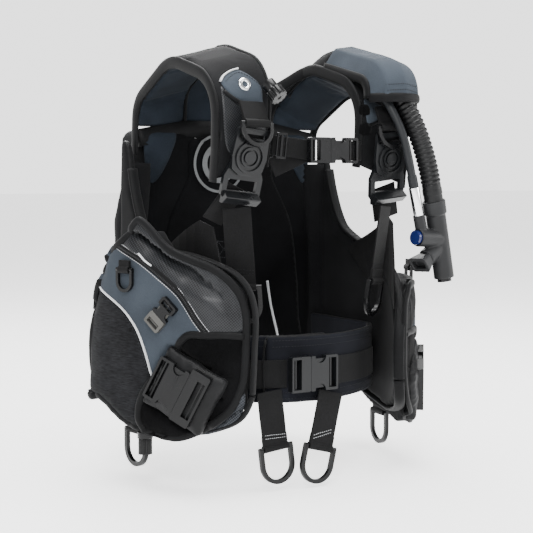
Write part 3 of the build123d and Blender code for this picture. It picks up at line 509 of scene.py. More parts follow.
def stitches(name, skin, lines, material, pitch=4.2, length=2.6, thick=0.75, lift=0.5, body="root"):
    """Rows of thread: one small rounded dash for each stitch."""
    verts, faces = [], []
    for line in lines:
        flat = smooth_line(line, pitch)
        for (a, b), (c, d) in zip(flat[:-1], flat[1:]):
            p, up = skin.frame_at(a, b, lift)
            q, _ = skin.frame_at(c, d, lift)
            along = (q - p).normalized()
            side = along.cross(up)
            start = len(verts)
            for t, w in ((0, 0.3), (0.2, 1), (0.8, 1), (1, 0.3)):
                centre = p + along * (length * t)
                verts += [
                    centre - side * thick * w / 2 - up * 0.6,
                    centre - side * thick * w / 4 + up * 0.25 * w,
                    centre + side * thick * w / 4 + up * 0.25 * w,
                    centre + side * thick * w / 2 - up * 0.6,
                ]
            for k in range(3):
                o = start + 4 * k
                faces += [(o, o + 1, o + 5, o + 4), (o + 1, o + 2, o + 6, o + 5),
                          (o + 2, o + 3, o + 7, o + 6)]
    return piece(name, verts, faces, material, body)


def distance_to(line, points):
    """Distance of each point from a closed line."""
    a = line
    b = np.roll(line, -1, axis=0)
    d = b - a
    size = (d**2).sum(1)
    rel = points[:, None, :] - a[None]
    t = np.clip((rel * d[None]).sum(2) / size[None], 0, 1)
    return np.sqrt(((rel - t[..., None] * d[None]) ** 2).sum(2)).min(1)


def inside(line, points):
    x, y = points[:, 0], points[:, 1]
    result = np.zeros(len(points), bool)
    j = len(line) - 1
    for i in range(len(line)):
        xi, yi = line[i]
        xj, yj = line[j]
        if yi != yj:
            crosses = (yi > y) != (yj > y)
            result ^= crosses & (x < (xj - xi) * (y - yi) / (yj - yi) + xi)
        j = i
    return result


def panel(name, skin, outline, material, lift=0.8, crown=1.2, edge=9.0, mesh=4.0, folds=0.8,
          fold_size=26.0, seed=0.0, rounds=3, creases=()):
    """A sewn cloth panel on a skin: cut to its outline, held down at the edge and crowned inside."""
    border = smooth_line(outline, mesh, True, rounds)
    low, high = border.min(0), border.max(0)
    grid = np.array(
        [
            (x + (mesh / 2 if row % 2 else 0), y)
            for row, y in enumerate(np.arange(low[1], high[1], mesh * 0.87))
            for x in np.arange(low[0], high[0], mesh)
        ]
    )
    grid = grid[inside(border, grid)]
    grid = grid[distance_to(border, grid) > mesh * 0.5]
    flat = np.vstack([border, grid])
    count = len(border)
    edges = [(i, (i + 1) % count) for i in range(count)]
    made, _, tris, *_ = delaunay_2d_cdt([Vector(p) for p in flat], edges, [], 1, 1e-5)
    flat = np.array([tuple(v) for v in made])
    depth = distance_to(border, flat)
    verts = []
    for (a, b), d in zip(flat, depth):
        share = 1 - math.exp(-d / edge)
        value = noise.noise(Vector((a / fold_size, b / fold_size, seed)))
        rise = lift + share * (crown + folds * value)
        for (ca, cb), (cx, cy), deep, wide in creases:
            along = Vector((cx - ca, cy - cb))
            t = max(0, min(1, ((a - ca) * along.x + (b - cb) * along.y) / along.length_squared))
            off = math.hypot(a - ca - along.x * t, b - cb - along.y * t)
            rise += share * deep * math.exp(-((off / wide) ** 2))
        verts.append(skin.at(a, b, max(rise, 0.35)))
    faces = [tuple(t) for t in tris]
    rim = len(verts)
    for i in range(count):
        verts.append(skin.at(*flat[i], -1.5))
    for i in range(count):
        j = (i + 1) % count
        faces.append((i, j, rim + j, rim + i))
    obj = piece(name, verts, faces, material)
    sheet_at = [(a / UV_SIZE, b / UV_SIZE) for a,
                b in flat] + [tuple(flat[i] / UV_SIZE) for i in range(count)]
    layer = obj.data.uv_layers.new(name="flat")
    for loop in obj.data.loops:
        layer.data[loop.index].uv = sheet_at[loop.vertex_index]
    work = bmesh.new()
    work.from_mesh(obj.data)
    bmesh.ops.recalc_face_normals(work, faces=work.faces)
    work.faces.ensure_lookup_table()
    ray = skin.place(*flat[tris[0][0]])[1]
    if work.faces[0].normal.dot(ray) > 0:
        bmesh.ops.reverse_faces(work, faces=work.faces)
    work.to_mesh(obj.data)
    work.free()
    return obj


SELVEDGE = 0.7
WEB_WAVER = 0.35
WEB_WAVER_SIZE = 32
LONGEST_WEB_EDGE = 7


def web_piece(node, material, name=None, keep=None, follow=None):
    """Webbing in the place of a CAD strap: rounded selvedges and a slight waver."""
    obj = linked(name or node + "_web", node_mesh(node))
    work = bmesh.new()
    work.from_mesh(obj.data)
    if keep:
        gone = [v for v in work.verts if not keep(v.co / MM)]
        bmesh.ops.delete(work, geom=gone, context="VERTS")
    bmesh.ops.dissolve_limit(work, angle_limit=math.radians(3), verts=work.verts, edges=work.edges)
    work.to_mesh(obj.data)
    work.free()
    bevel = obj.modifiers.new("selvedge", "BEVEL")
    bevel.width = SELVEDGE * MM
    bevel.segments = 2
    bevel.limit_method = "ANGLE"
    bevel.angle_limit = math.radians(40)
    obj.modifiers.new("triangles", "TRIANGULATE")
    settle(obj)
    obj.data.materials.append(material)
    work = bmesh.new()
    work.from_mesh(obj.data)
    for _ in range(5):
        long_edges = [e for e in work.edges if e.calc_length() > LONGEST_WEB_EDGE * MM]
        if not long_edges:
            break
        bmesh.ops.subdivide_edges(work, edges=long_edges, cuts=1)
        bmesh.ops.triangulate(work, faces=[f for f in work.faces if len(f.verts) > 3])
    work.to_mesh(obj.data)
    work.free()
    co = points_of(obj.data)
    for i, p in enumerate(co):
        shift = noise.noise_vector(Vector(p) / (WEB_WAVER_SIZE * MM))
        co[i] = p + np.array(shift) * WEB_WAVER * MM
    put_points(obj.data, co)
    obj.data.polygons.foreach_set("use_smooth", [False] * len(obj.data.polygons))
    if follow:
        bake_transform(obj)
    else:
        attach(obj, BODY_OF[node])
    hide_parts(node)
    return obj


def hard_node(node, material, width):
    """A CAD node kept as it is, with rounded edges and a moulded finish."""
    obj = frame["nodes"][node]
    obj.data.materials.clear()
    obj.data.materials.append(material)
    weld = obj.modifiers.new("weld", "WELD")
    weld.merge_threshold = WELD
    bevel = obj.modifiers.new("rounding", "BEVEL")
    bevel.width = width * MM
    bevel.segments = 3
    bevel.limit_method = "ANGLE"
    bevel.angle_limit = math.radians(35)
    bevel.harden_normals = False
    return obj


def moulded(node, voxel, material, smooth=4):
    """A moulding with soft fillets in the place of a CAD solid."""
    obj = remeshed(node, node + "_moulding", voxel, smooth)
    obj.data.materials.append(material)
    obj.data.polygons.foreach_set("use_smooth", [True] * len(obj.data.polygons))
    stands_for(obj, node)
    return obj


# ---------------------------------------------------------------- the two hoses
HOSE_ROUTE = [
    (112, -50, 400), (115, -92, 388), (120, -132, 353), (130, -148, 318),
    (143, -151, 284), (155, -150, 250), (163, -148, 217),
]
LP_ROUTE = [
    (86, -50, 399), (90, -92, 390), (95, -128, 354), (105, -142, 324),
    (112, -149, 298), (117, -151, 275), (122, -151, 255), (127.5, -150, 235),
]


def spline_points(name, route):
    """Points read from the NURBS spline that has the route as its control points."""
    data = bpy.data.curves.new(name, "CURVE")
    data.dimensions = "3D"
    data.resolution_u = 14
    line = data.splines.new("NURBS")
    line.points.add(len(route) - 1)
    for point, place in zip(line.points, route):
        point.co = (*(c * MM for c in place), 1)
    line.order_u = 3
    line.use_endpoint_u = True
    obj = linked(name, data)
    mesh = final_mesh(obj)
    found = [Vector(v.co) / MM for v in mesh.vertices]
    bpy.data.objects.remove(obj)
    return found


def tube(name, route, radius_at, step, material, around=28):
    """A tube whose radius changes along a spline."""
    line = smooth_line([tuple(p) for p in route], step, rounds=0)
    verts, faces = [], []
    side = Vector((1, 0, 0))
    for i, p in enumerate(line):
        before, after = line[max(0, i - 1)], line[min(len(line) - 1, i + 1)]
        along = (Vector(after) - Vector(before)).normalized()
        side = (side - along * side.dot(along)).normalized()
        up = along.cross(side)
        r = radius_at(i * step)
        for k in range(around):
            a = 2 * math.pi * k / around
            verts.append(Vector(p) + (side * math.cos(a) + up * math.sin(a)) * r)
    for i in range(len(line) - 1):
        for k in range(around):
            a, b = i * around + k, i * around + (k + 1) % around
            faces.append((a, b, b + around, a + around))
    faces.append(tuple(reversed(range(around))))
    faces.append(tuple(range((len(line) - 1) * around, len(line) * around)))
    return piece(name, verts, faces, material, "root")


def corrugated(at):
    """Rounded ribs, and a cuff of stepped bands at the far end."""
    if at > HOSE_LENGTH - 24:
        return 12.8 if (at // 8) % 2 else 13.3
    return 11.3 + 2.2 * abs(math.sin(math.pi * at / 6.2)) ** 0.7


hose_line = spline_points("hose_route", HOSE_ROUTE)
HOSE_LENGTH = sum((b - a).length for a, b in zip(hose_line, hose_line[1:]))
hose_piece = tube("inflator_hose_tube", hose_line, corrugated, 0.78, RUBBER, 32)
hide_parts("inflator_hose")
lp_line = spline_points("lp_route", LP_ROUTE)
LP_LENGTH = sum((b - a).length for a, b in zip(lp_line, lp_line[1:]))
lp_piece = tube(
    "lp_hose_tube",
    lp_line,
    lambda at: 6.6 if LP_LENGTH - 16 < at < LP_LENGTH - 1 else 5.5,
    1.5,
    HOSE_GREY,
    20,
)
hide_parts("lp_hose")

body_piece = moulded("inflator_body", 1.1, BODY_PLASTIC, 4)
mouth_piece = moulded("mouthpiece", 0.8, BODY_PLASTIC, 3)
for node, material in (("lp_coupling", CHROME), ("inflate_button", BLUE),
                       ("deflate_button", BLACK_PLASTIC)):
    hard_node(node, material, 0.9)


# ---------------------------------------------------------------- padded bodies of cloth
def lobe_wall(at, normal):
    out = Vector((at.x, min(at.y + 20, 0), 0)).normalized()
    return 0 if abs(normal.dot(out)) > 0.62 else 1


ARM_CENTRE = Vector((0, 8, 310))


def shoulder_wall(side, slope):
    """The pad's two edges are bound, and its under side has the slate lining."""
    across = Vector((side, 0, slope)).normalized()

    def test(at, normal):
        if abs(normal.dot(across)) > 0.6:
            return 1
        return 2 if normal.dot((ARM_CENTRE - Vector((0, at.y, at.z))).normalized()) > 0.3 else 0

    return test


back_piece = soft_piece(
    "back_pad", 5, [DULL, BINDING], lambda at, n: 0 if abs(n.y) > 0.6 else 1, cap=3, folds=1.4, fold_size=60
)
cell_piece = soft_piece("air_cell_back", 5, [NYLON, BINDING], None, cap=6, folds=2.2, fold_size=55)
lobes, pockets, pads = {}, {}, {}
for side in ("right", "left"):
    lobes[side] = soft_piece(
        "lobe_" + side, 4, [NYLON, BINDING], lobe_wall, cap=2.5, folds=1.2, fold_size=45
    )
    pockets[side] = soft_piece(
        "pocket_" + side, 4, [NYLON, BINDING], None, cap=1.2, folds=1.0, fold_size=40
    )
pads["right"] = soft_piece("shoulder_pad_right", 3.2, [NYLON, BINDING, NAVY], shoulder_wall(-1, -0.26),
                           cap=2.2, folds=0.8)
pads["left"] = soft_piece("shoulder_pad_left", 3.2, [NYLON, BINDING, NAVY], shoulder_wall(1, -0.36),
                          cap=2.2, folds=0.8)
belts = {}
for side in ("right", "left"):
    belts[side] = soft_piece(
        "cummerbund_" + side, 3, [CUMMER, BINDING], lambda at, n: 1 if abs(n.z) > 0.6 else 0,
        pressure=0, folds=0.8, fold_size=50, smooth=4,
    )
for side in ("right", "left"):
    soft_piece(
        "weight_pouch_" + side, 3, [POUCH_CLOTH, BINDING], None, cap=4, folds=2.2, fold_size=24, smooth=8
    )

flap_piece = soft_piece("hose_flap", 1.2, [SLATE, BINDING], None, pressure=0, folds=0.8, smooth=2,
                        fold_size=30)

# ---------------------------------------------------------------- webbing
webs = {
    "waist_belt_right": web_piece("waist_belt_right", WEBBING,
                                  follow=("waist_plug", (-126, -60, -5), (-50, -110, -5))),
    "chest_strap_right": web_piece("chest_strap_right", WEBBING,
                                   follow=("chest_plug", (-70, -108, 283), (-18, -116, 283))),
}
for node in (
    "shoulder_strap_loops", "shoulder_tail_right", "shoulder_tail_left", "waist_belt_left",
    "waist_tail_right", "chest_strap_left", "sewn_tabs", "tank_band",
):
    webs[node] = web_piece(node, WEBBING)
for side, label in ((-1, "right"), (1, "left")):
    web_piece("load_straps", WEBBING, name=f"load_strap_{label}_web", keep=lambda p: p.x * side > 0,
              follow=("shoulder_release_" + label, (side * 152, -72, 188), (side * 106, -103, 236)))

# ---------------------------------------------------------------- hard parts
PLASTIC_NODES = [
    n for n, slot in SLOT_OF.items() if slot == "black_plastic" and n not in ("inflator_body",
        "deflate_button")
]
for node in PLASTIC_NODES:
    grey = node.startswith(("swivel", "shoulder_release", "waist_buckle"))
    hard_node(node, KHAKI if node == "clip_plug" else GREY_PLASTIC if grey else BLACK_PLASTIC, 0.8)

# ---------------------------------------------------------------- right pocket
POCKET_R = 259.0
POCKET_X, POCKET_Y = 20.5, 79.0
POCKET_START = math.atan2(-137.35 - POCKET_Y, -123 - POCKET_X)
REACH = 60.0


def pocket_place(side, sag):
    """Rays on to a pocket: a is the arc length behind its front edge, b the height."""

    def place(a, b):
        angle = POCKET_START - a / POCKET_R
        out = Vector((math.cos(angle), math.sin(angle), 0))
        start = Vector((POCKET_X, POCKET_Y, b)) + out * (POCKET_R + REACH)
        if side > 0:
            start.x, out.x = -start.x, -out.x
        start.z -= sag
        return start, -out, REACH

    return place


POCKET_OUTLINE = [
    (146, 194), (114, 168), (100, 157), (79, 148), (50, 138), (32, 128), (19, 116), (8, 101), (2, 81),
    (1, 60), (3, 10), (6, -9), (13, -28), (23, -43), (37, -55), (54, -66), (74, -75), (100, -81),
    (147, -73), (173, -67), (202, -52), (233, -39), (258, -36), (240, 69), (229, 106), (214, 126),
    (206, 146), (170, 170),
]
MESH_PATCH = [
    (146, 192), (114, 166), (100, 155), (79, 146), (50, 136), (32, 126), (19, 114), (9, 99), (4, 81),
    (4, 60), (24, 52), (50, 52), (66, 73), (86, 102), (114, 124), (145, 144), (170, 158), (166, 172),
]
SLATE_PATCH = [
    (50, 53), (66, 73), (86, 102), (114, 124), (145, 144), (186, 163), (208, 145), (216, 126), (231, 107),
    (201, 94), (171, 78), (149, 54), (135, 23), (127, -2), (120, 3), (103, 19), (86, 42), (73, 51),
]
HEATHER_PATCH = [
    (231, 106), (201, 93), (171, 77), (149, 53), (135, 22), (127, -3), (138, -22), (147, -42), (148, -62),
    (142, -75), (173, -68), (203, -52), (234, -39), (260, -36), (243, 69),
]
BAY_PATCH = [
    (4, 48), (24, 50), (50, 50), (73, 50), (86, 41), (103, 18), (123, -3), (138, -23), (147, -43),
    (148, -63),
    (139, -77), (100, -81), (74, -75), (54, -66), (37, -55), (23, -43), (13, -28), (6, -9), (3, 12),
]
BAY_EDGE = [
    (4, 51), (28, 53), (50, 52), (73, 52), (86, 42), (103, 19), (123, -2), (138, -22), (147, -42),
    (148, -62), (139, -77),
]
pocket_skin = Skin(pocket_place(-1, 0), pockets["right"])
panel("pocket_mesh_patch", pocket_skin, MESH_PATCH, MESH_CLOTH, 0.8, 3.0, 14, 3.4, 2.6, 24,
      seed=3, creases=[((30, 110), (110, 150), -2.6, 7), ((22, 75), (70, 100), 2.2, 8),
                       ((90, 120), (150, 170), 1.8, 7)])
panel("pocket_slate_panel", pocket_skin, SLATE_PATCH, SLATE, 1.0, 1.4, 8, 3.4, 1.2, 34,
      seed=7)
panel("pocket_heather_panel", pocket_skin, HEATHER_PATCH, HEATHER, 1.0, 1.6, 8, 3.4, 1.4, 40,
      seed=11, creases=[((160, 20), (235, -20), 1.4, 9)])
panel("pocket_bay_cloth", pocket_skin, BAY_PATCH, VELCRO, 0.8, 0.6, 8, 3.6, 0.8, 22, seed=15)
trim("pocket_edge_binding", pocket_skin, POCKET_OUTLINE, 10, 3.4, BINDING, True, 3.5)
trim("pocket_bay_binding", pocket_skin,
     BAY_EDGE, 10, 4.2, BINDING, step=3.5)
trim("pocket_piping", pocket_skin, [(230, 107), (201, 94), (171, 78), (149, 54), (135, 23), (127, -2)],
     3.2, 3.0, PIPING, step=3)
trim("pocket_short_piping", pocket_skin, [(146, 152), (136, 143), (126, 137)], 2.4, 2.4, PIPING, step=2.5,
     lift=1.4)
ZIP = [(186, 163), (145, 144), (114, 124), (86, 102), (66, 73), (50, 53)]


def offset_line(line, by):
    """The line moved sideways by a distance."""
    pts = smooth_line(line, 6)
    out = []
    for i, p in enumerate(pts):
        d = pts[min(i + 1, len(pts) - 1)] - pts[max(i - 1, 0)]
        n = np.array([-d[1], d[0]]) / max(np.linalg.norm(d), 1e-6)
        out.append(tuple(p + n * by))
    return out


def zip_set(name, skin):
    """Two tapes, a row of teeth between them, and a line of pale thread along each."""
    made = trim(name + "_tape", skin, ZIP, 12, 1.7, BINDING, step=3)
    stitches(name + "_teeth", skin, [ZIP], GREY_PLASTIC, 2.2, 1.3, 3.4, 2.2)
    stitches(name + "_thread", skin, [offset_line(ZIP, 4.6), offset_line(ZIP, -4.6)], THREAD, 3.4, 2.8,
             1.2, 1.7)
    return made


zip_right = zip_set("pocket_zip_right", pocket_skin)
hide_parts("pocket_zips")
stitches("pocket_seam_thread", pocket_skin, [offset_line([(229, 106), (201, 94), (171, 78), (149, 54),
    (135, 23), (128, 2)], 4)],
         DARK_THREAD, 4, 2.6, 0.7, 2.2)
stitches("pocket_edge_thread", pocket_skin,
         [[(138, 184), (114, 163), (100, 152), (79, 143), (52, 133), (36, 123), (25, 111), (15, 98),
           (10, 81), (9, 62)]],
         DARK_THREAD, 4, 2.6, 0.8, 1.8)

# the left pocket is seen edge-on, as folds of black cloth with a bound edge
left_skin = Skin(pocket_place(1, LEFT_SAG), pockets["left"])
LEFT_OUTLINE = [
    (31, 116), (17, 106), (6, 92), (3, 60), (3, 10), (6, -9), (13, -28), (23, -43), (37, -55), (54, -66),
    (74, -75), (100, -81), (147, -73), (173, -67), (202, -52), (233, -39), (258, -36), (240, 69),
    (229, 106),
    (200, 116), (120, 117),
]
panel("pocket_left_heather", left_skin, HEATHER_PATCH, HEATHER, 0.8, 1.6, 8, 3.6, 2.0, 30,
      seed=21)
panel("pocket_left_slate", left_skin,
      [(50, 53), (66, 73), (86, 102), (106, 113), (150, 113), (205, 112), (228, 103), (201, 94), (171, 78),
       (149, 54),
       (135, 23), (127, -2), (103, 19), (86, 42), (73, 51)],
      SLATE, 0.9, 1.6, 8, 3.6, 2.0, 30, seed=23)
panel("pocket_left_mesh", left_skin, [(6, 90), (17, 104), (34, 112), (92, 112), (84, 101), (66, 76),
                                      (48, 54), (24, 52), (5, 60)],
      NYLON, 0.8, 2.4, 10, 3.4, 2.4, 22, seed=25)
panel("pocket_left_bay", left_skin, BAY_PATCH, VELCRO, 0.8, 0.6, 8, 3.6, 0.8, 22, seed=27)
trim("pocket_left_binding", left_skin, LEFT_OUTLINE, 10, 3.4, BINDING, True, 3.5)
trim("pocket_left_bay_binding", left_skin,
     BAY_EDGE, 10, 4.2, BINDING, step=3.5)
trim("pocket_left_piping", left_skin, [(228, 105), (201, 94), (171, 78), (149, 54), (135, 23), (127, -2)],
     3.2, 3.0, PIPING, step=3)


# ---------------------------------------------------------------- shoulders
def front_place(tilt, depth_y):
    """Rays on to the front of a shoulder, for x and z, coming from ahead and above."""
    along = Vector((0, math.cos(math.radians(tilt)), -math.sin(math.radians(tilt))))

    def place(a, b):
        target = Vector((a, depth_y, b))
        return target - along * 120, along, 120

    return place


shoulder_skin = Skin(front_place(18, -108), pads["right"])
panel("shoulder_slate_panel", shoulder_skin,
      [(-136, 372), (-124, 383), (-108, 389), (-93, 376), (-84, 362), (-84, 345), (-84, 334), (-100, 337),
       (-124, 347), (-133, 358)],
      SLATE, 1.0, 1.6, 7, 2.6, 0.7, 30, seed=31)
panel("shoulder_mesh_patch", shoulder_skin,
      [(-138, 364), (-126, 343), (-104, 334), (-82, 327), (-80, 300), (-84, 282), (-104, 274), (-128, 276),
       (-138, 292), (-141, 330)],
      MESH_CLOTH, 0.5, 1.0, 7, 2.8, 0.7, 30, seed=33)
trim("shoulder_panel_binding", shoulder_skin, [(-136, 356), (-124, 345), (-104, 335), (-80, 327)], 6, 2.6,
     BINDING, step=2.5)
trim("shoulder_arc_piping", shoulder_skin, [(-137, 371), (-131, 379), (-123, 385), (-115, 389),
                                            (-107, 391)], 2.6, 2.6, PIPING, step=2.5, lift=1.2)
eyelet_at, eyelet_up = shoulder_skin.frame_at(-107, 365, 3.0)


def turned(name, at, axis, profile, material, around=40):
    """A turned piece: a closed profile of (radius, height) points carried round an axis."""
    axis = axis.normalized()
    side = axis.orthogonal().normalized()
    up = axis.cross(side)
    verts, faces = [], []
    for k in range(around):
        a = 2 * math.pi * k / around
        d = side * math.cos(a) + up * math.sin(a)
        verts += [at + d * r + axis * h for r, h in profile]
    n = len(profile)
    for k in range(around):
        m = (k + 1) % around
        for j in range(n):
            i = (j + 1) % n
            faces.append((k * n + j, m * n + j, m * n + i, k * n + i))
    return piece(name, verts, faces, material)


RING_PROFILE = [(8.5, -2.0), (8.8, 0.0), (8.0, 0.9), (6.0, 1.5), (4.2, 0.9), (3.7, -0.6), (3.7, -2.0)]
turned("shoulder_eyelet", eyelet_at, eyelet_up, RING_PROFILE, CHROME)
turned("shoulder_eyelet_floor", eyelet_at, eyelet_up, [(0.01, -1.4), (3.9, -1.4), (3.9, -2.4), (0.01,
    -2.4)], BLACK_PLASTIC)
stitches("shoulder_panel_thread", shoulder_skin, [[(-131, 370), (-122, 378), (-108, 384), (-92, 371),
    (-81, 358)]], DARK_THREAD, 3.6, 2.4, 0.7, 2.6)

# ---------------------------------------------------------------- yoke, shoulder edges and side seams
SHOULDER_SIDE = [(124, 300), (119, 372), (18, 423), (-104, 388), (-101, 300), (-96, 262)]
SHOULDER_ROUND = [40, 75, 60, 60]


def rounded(points, radii, step=4.0):
    """A line of straight runs with an arc of each corner's radius."""
    out = [Vector(points[0])]
    for i, radius in enumerate(radii, 1):
        p, q, r = Vector(points[i - 1]), Vector(points[i]), Vector(points[i + 1])
        a, b = (p - q).normalized(), (r - q).normalized()
        half_turn = a.angle(b) / 2
        reach = radius / math.tan(half_turn)
        centre = q + (a + b).normalized() * (radius / math.sin(half_turn))
        start, end = q + a * reach - centre, q + b * reach - centre
        sweep = start.angle_signed(end)
        for k in range(9):
            turn = Matrix.Rotation(-sweep * k / 8, 2)
            out.append(centre + turn @ start)
    out.append(Vector(points[-1]))
    return smooth_line([tuple(p) for p in out], step, rounds=0)


def shoulder_line(side, inset, lift=0.0):
    """The middle line of a shoulder pad at a distance out from its neck edge."""
    drop, slope = (0, -0.26) if side < 0 else (20, -0.36)
    points = [SHOULDER_SIDE[0]] + [(y, z - drop) for y, z in SHOULDER_SIDE[1:4]] + SHOULDER_SIDE[4:]
    flat = rounded(points, SHOULDER_ROUND)
    return [Vector((side * (72 + inset), y, z + slope * inset + lift)) for y, z in flat]


def side_ups(line):
    """Outward directions of a line that lies in an upright plane fore and aft."""
    ups = []
    for i in range(len(line)):
        d = line[min(i + 1, len(line) - 1)] - line[max(i - 1, 0)]
        ups.append(Vector((0, -d.z, d.y)).normalized() * -1)
    return ups


PAD_EDGE = oval(3.4, 8.2)
for side, label in ((-1, "right"), (1, "left")):
    for inset, edge_name in ((0, "neck"), (76, "arm")):
        line = shoulder_line(side, inset)
        strip(f"shoulder_{label}_{edge_name}_binding", line, PAD_EDGE, side_ups(line), BINDING)


def thick_sheet(name, rows, thick, materials):
    """A padded sheet from a grid of points: rounded at its rim, with its own cloth on the under side."""
    grid = np.array([[tuple(p) for p in row] for row in rows])
    du = np.gradient(grid, axis=0)
    dv = np.gradient(grid, axis=1)
    normal = np.cross(du, dv)
    normal /= np.maximum(np.linalg.norm(normal, axis=2, keepdims=True), 1e-9)
    nu, nv = grid.shape[:2]
    share = np.ones((nu, nv))
    for ring, amount in ((0, 0.35), (1, 0.8)):
        share[ring, :] = np.minimum(share[ring, :], amount)
        share[nu - 1 - ring, :] = np.minimum(share[nu - 1 - ring, :], amount)
        share[:, ring] = np.minimum(share[:, ring], amount)
        share[:, nv - 1 - ring] = np.minimum(share[:, nv - 1 - ring], amount)
    top = grid + normal * (share * thick / 2)[..., None]
    low = grid - normal * (share * thick / 2)[..., None]
    verts = [tuple(p) for p in top.reshape(-1, 3)] + [tuple(p) for p in low.reshape(-1, 3)]
    n = nu * nv
    faces, kinds = [], []
    for i in range(nu - 1):
        for j in range(nv - 1):
            a, b, c, d = i * nv + j, i * nv + j + 1, (i + 1) * nv + j + 1, (i + 1) * nv + j
            faces.append((a, d, c, b))
            faces.append((n + a, n + b, n + c, n + d))
            kinds += [0, 1]
    rim = [j for j in range(nv)] + [i * nv + nv - 1 for i in range(1, nu)]
    rim += [(nu - 1) * nv + j for j in range(nv - 2, -1, -1)] + [i * nv for i in range(nu - 2, 0, -1)]
    for a, b in zip(rim, rim[1:] + rim[:1]):
        faces.append((a, b, n + b, n + a))
        kinds.append(0)
    obj = piece(name, verts, faces, materials[0], extra=materials[1:])
    obj.data.polygons.foreach_set("material_index", kinds)
    work = bmesh.new()
    work.from_mesh(obj.data)
    bmesh.ops.recalc_face_normals(work, faces=work.faces)
    work.to_mesh(obj.data)
    work.free()
    return obj


YOKE_REACH = 74.0
for side, label in ((-1, "right"), (1, "left")):
    spine = shoulder_line(side, 0)
    rear = [p for p in spine if p.y > 14 and p.z > 306]
    rows = []
    for i, p in enumerate(rear):
        drop = 1 - i / (len(rear) - 1)
        width = 4 + (YOKE_REACH - 4) * drop**1.35
        row = []
        for k in range(15):
            across = k / 14
            sag = 5 * math.sin(math.pi * across) * drop
            row.append(Vector((p.x - side * (width * across - 6), p.y + sag * 0.3, p.z - sag * 0.4)))
        rows.append(row)
    yoke = thick_sheet(f"yoke_{label}", rows, 11, [NYLON, NAVY])
    neck = [row[-1] for row in rows]
    strip(f"yoke_{label}_binding", neck, PAD_EDGE, side_ups(neck), BINDING)
    seam = [Vector((side * x, 122, 317 - max(0, x - 72) * 0.2)) for x in range(0, 148, 6)]
    strip(f"yoke_{label}_seam", seam, [(-11, -8), (11, -8), (12.5, 0), (11, 8), (-11, 8), (-12.5, 0)],
          [Vector((0, 1, 0))] * len(seam), BINDING)
    gusset = [Vector((side * (149 + 5 * math.sin(z / 60)), 112, z)) for z in range(-44, 270, 8)]
    strip(f"side_seam_{label}", gusset, oval(19, 6),
          [Vector((side * 0.35, 1, 0)).normalized()] * len(gusset), NYLON)

# ---------------------------------------------------------------- flap over the hoses
FLAP_FOOT = Vector((74, -122, 352))
FLAP_ARCH = [(0, 1), (4, 10), (12, 22), (24, 27), (40, 28.5), (54, 25), (66, 19), (75, 6), (79, -14)]
arch = smooth_line(FLAP_ARCH, 3)
edge_line = [FLAP_FOOT + Vector((a, -h, 0.5)) for a, h in arch]
edge_ups = [Vector((0, 0, -1))] * len(edge_line)
FLAP_EDGE = oval(2.6, 6.0, 12)
strip("flap_edge_binding", edge_line, FLAP_EDGE, edge_ups, BINDING)
FLAP_SIDE = [(-20, 402), (-120, 377), (-122, 352)]
for offset, label in ((0, "neck"), (79, "arm")):
    rise = FLAP_ARCH[0][1] if offset == 0 else FLAP_ARCH[-1][1]
    flat = rounded(FLAP_SIDE, [24])
    line = [Vector((74 + offset, y - (rise * 0.24), z + rise * 0.97)) for y, z in flat]
    strip(f"flap_{label}_binding", line, [(-2.4, -9), (2.4, -9), (3.2, -3), (2.4, 3), (-2.4, 3),
                                          (-3.2, -3)],
          side_ups(line), BINDING)

# behind the flap a padded sleeve covers the hoses' start and thins out over the shoulder
sleeve_rows = []
for i in range(15):
    t = i / 14
    y = -22 + 96 * t
    ground = 397 - 34 * t**1.6 + 5 * math.sin(math.pi * t)
    share = 0.12 + 0.88 * math.cos(math.pi * t / 2) ** 0.8
    sleeve_rows.append([Vector((74 + a, y, ground + h * share - a * 0.1 * t)) for a,
                        h in smooth_line(FLAP_ARCH, 7)])
sleeve = thick_sheet("hose_sleeve", sleeve_rows, 3.0, [NYLON, NYLON])
flap_skin = Skin(front_place(12, -150), flap_piece)
stitches("flap_thread", flap_skin, [[(82, 362), (112, 363), (146, 361)], [(84, 370), (112, 371),
    (144, 369)]], DARK_THREAD,
         3.6, 2.4, 0.8, 0.5)

# ---------------------------------------------------------------- left shoulder trim under the flap
left_front = Skin(front_place(14, -108), pads["left"])
panel("left_shoulder_slate", left_front, [(80, 352), (100, 350), (112, 343), (106, 330), (94, 322),
                                          (80, 318)],
      SLATE, 0.7, 1.0, 6, 2.6, 0.4, 30, seed=61)
for number, z in enumerate((344, 318)):
    panel(f"left_shoulder_tab_{number}", left_front, [(70, z), (84, z), (84, z - 13), (70, z - 13)],
          VELCRO, 1.6, 0.8, 3, 2.2, 0.2,
          20, seed=63 + number, rounds=1)
trim("left_shoulder_panel_binding", left_front, [(80, 316), (94, 320), (107, 329), (114, 343)], 5, 2.4,
     BINDING, step=2.5)

# ---------------------------------------------------------------- pale mesh low on the right lobe
def lobe_place(a, b):
    """Rays on to the right lobe: a is the arc length behind its front edge."""
    angle = math.radians(180 + 43.65) - a / 170
    out = Vector((math.cos(angle), math.sin(angle), 0))
    return Vector((0, -20, b)) + out * 230, -out, 60


lobe_skin = Skin(lobe_place, lobes["right"])
panel("lobe_pale_patch", lobe_skin,
      [(3, -20), (12, -33), (24, -47), (40, -58), (58, -68), (56, -76), (36, -68), (20, -60), (9, -48),
       (3, -34)],
      PALE_MESH, 0.8, 0.6, 4, 2.4, 0.3, 20, seed=51)

# ---------------------------------------------------------------- armhole and lobe edges
def lobe_point(side, y, z, r=164.0):
    x = r if y > -20 else math.sqrt(max(r**2 - (y + 20) ** 2, 1))
    return Vector((side * x, y, z))


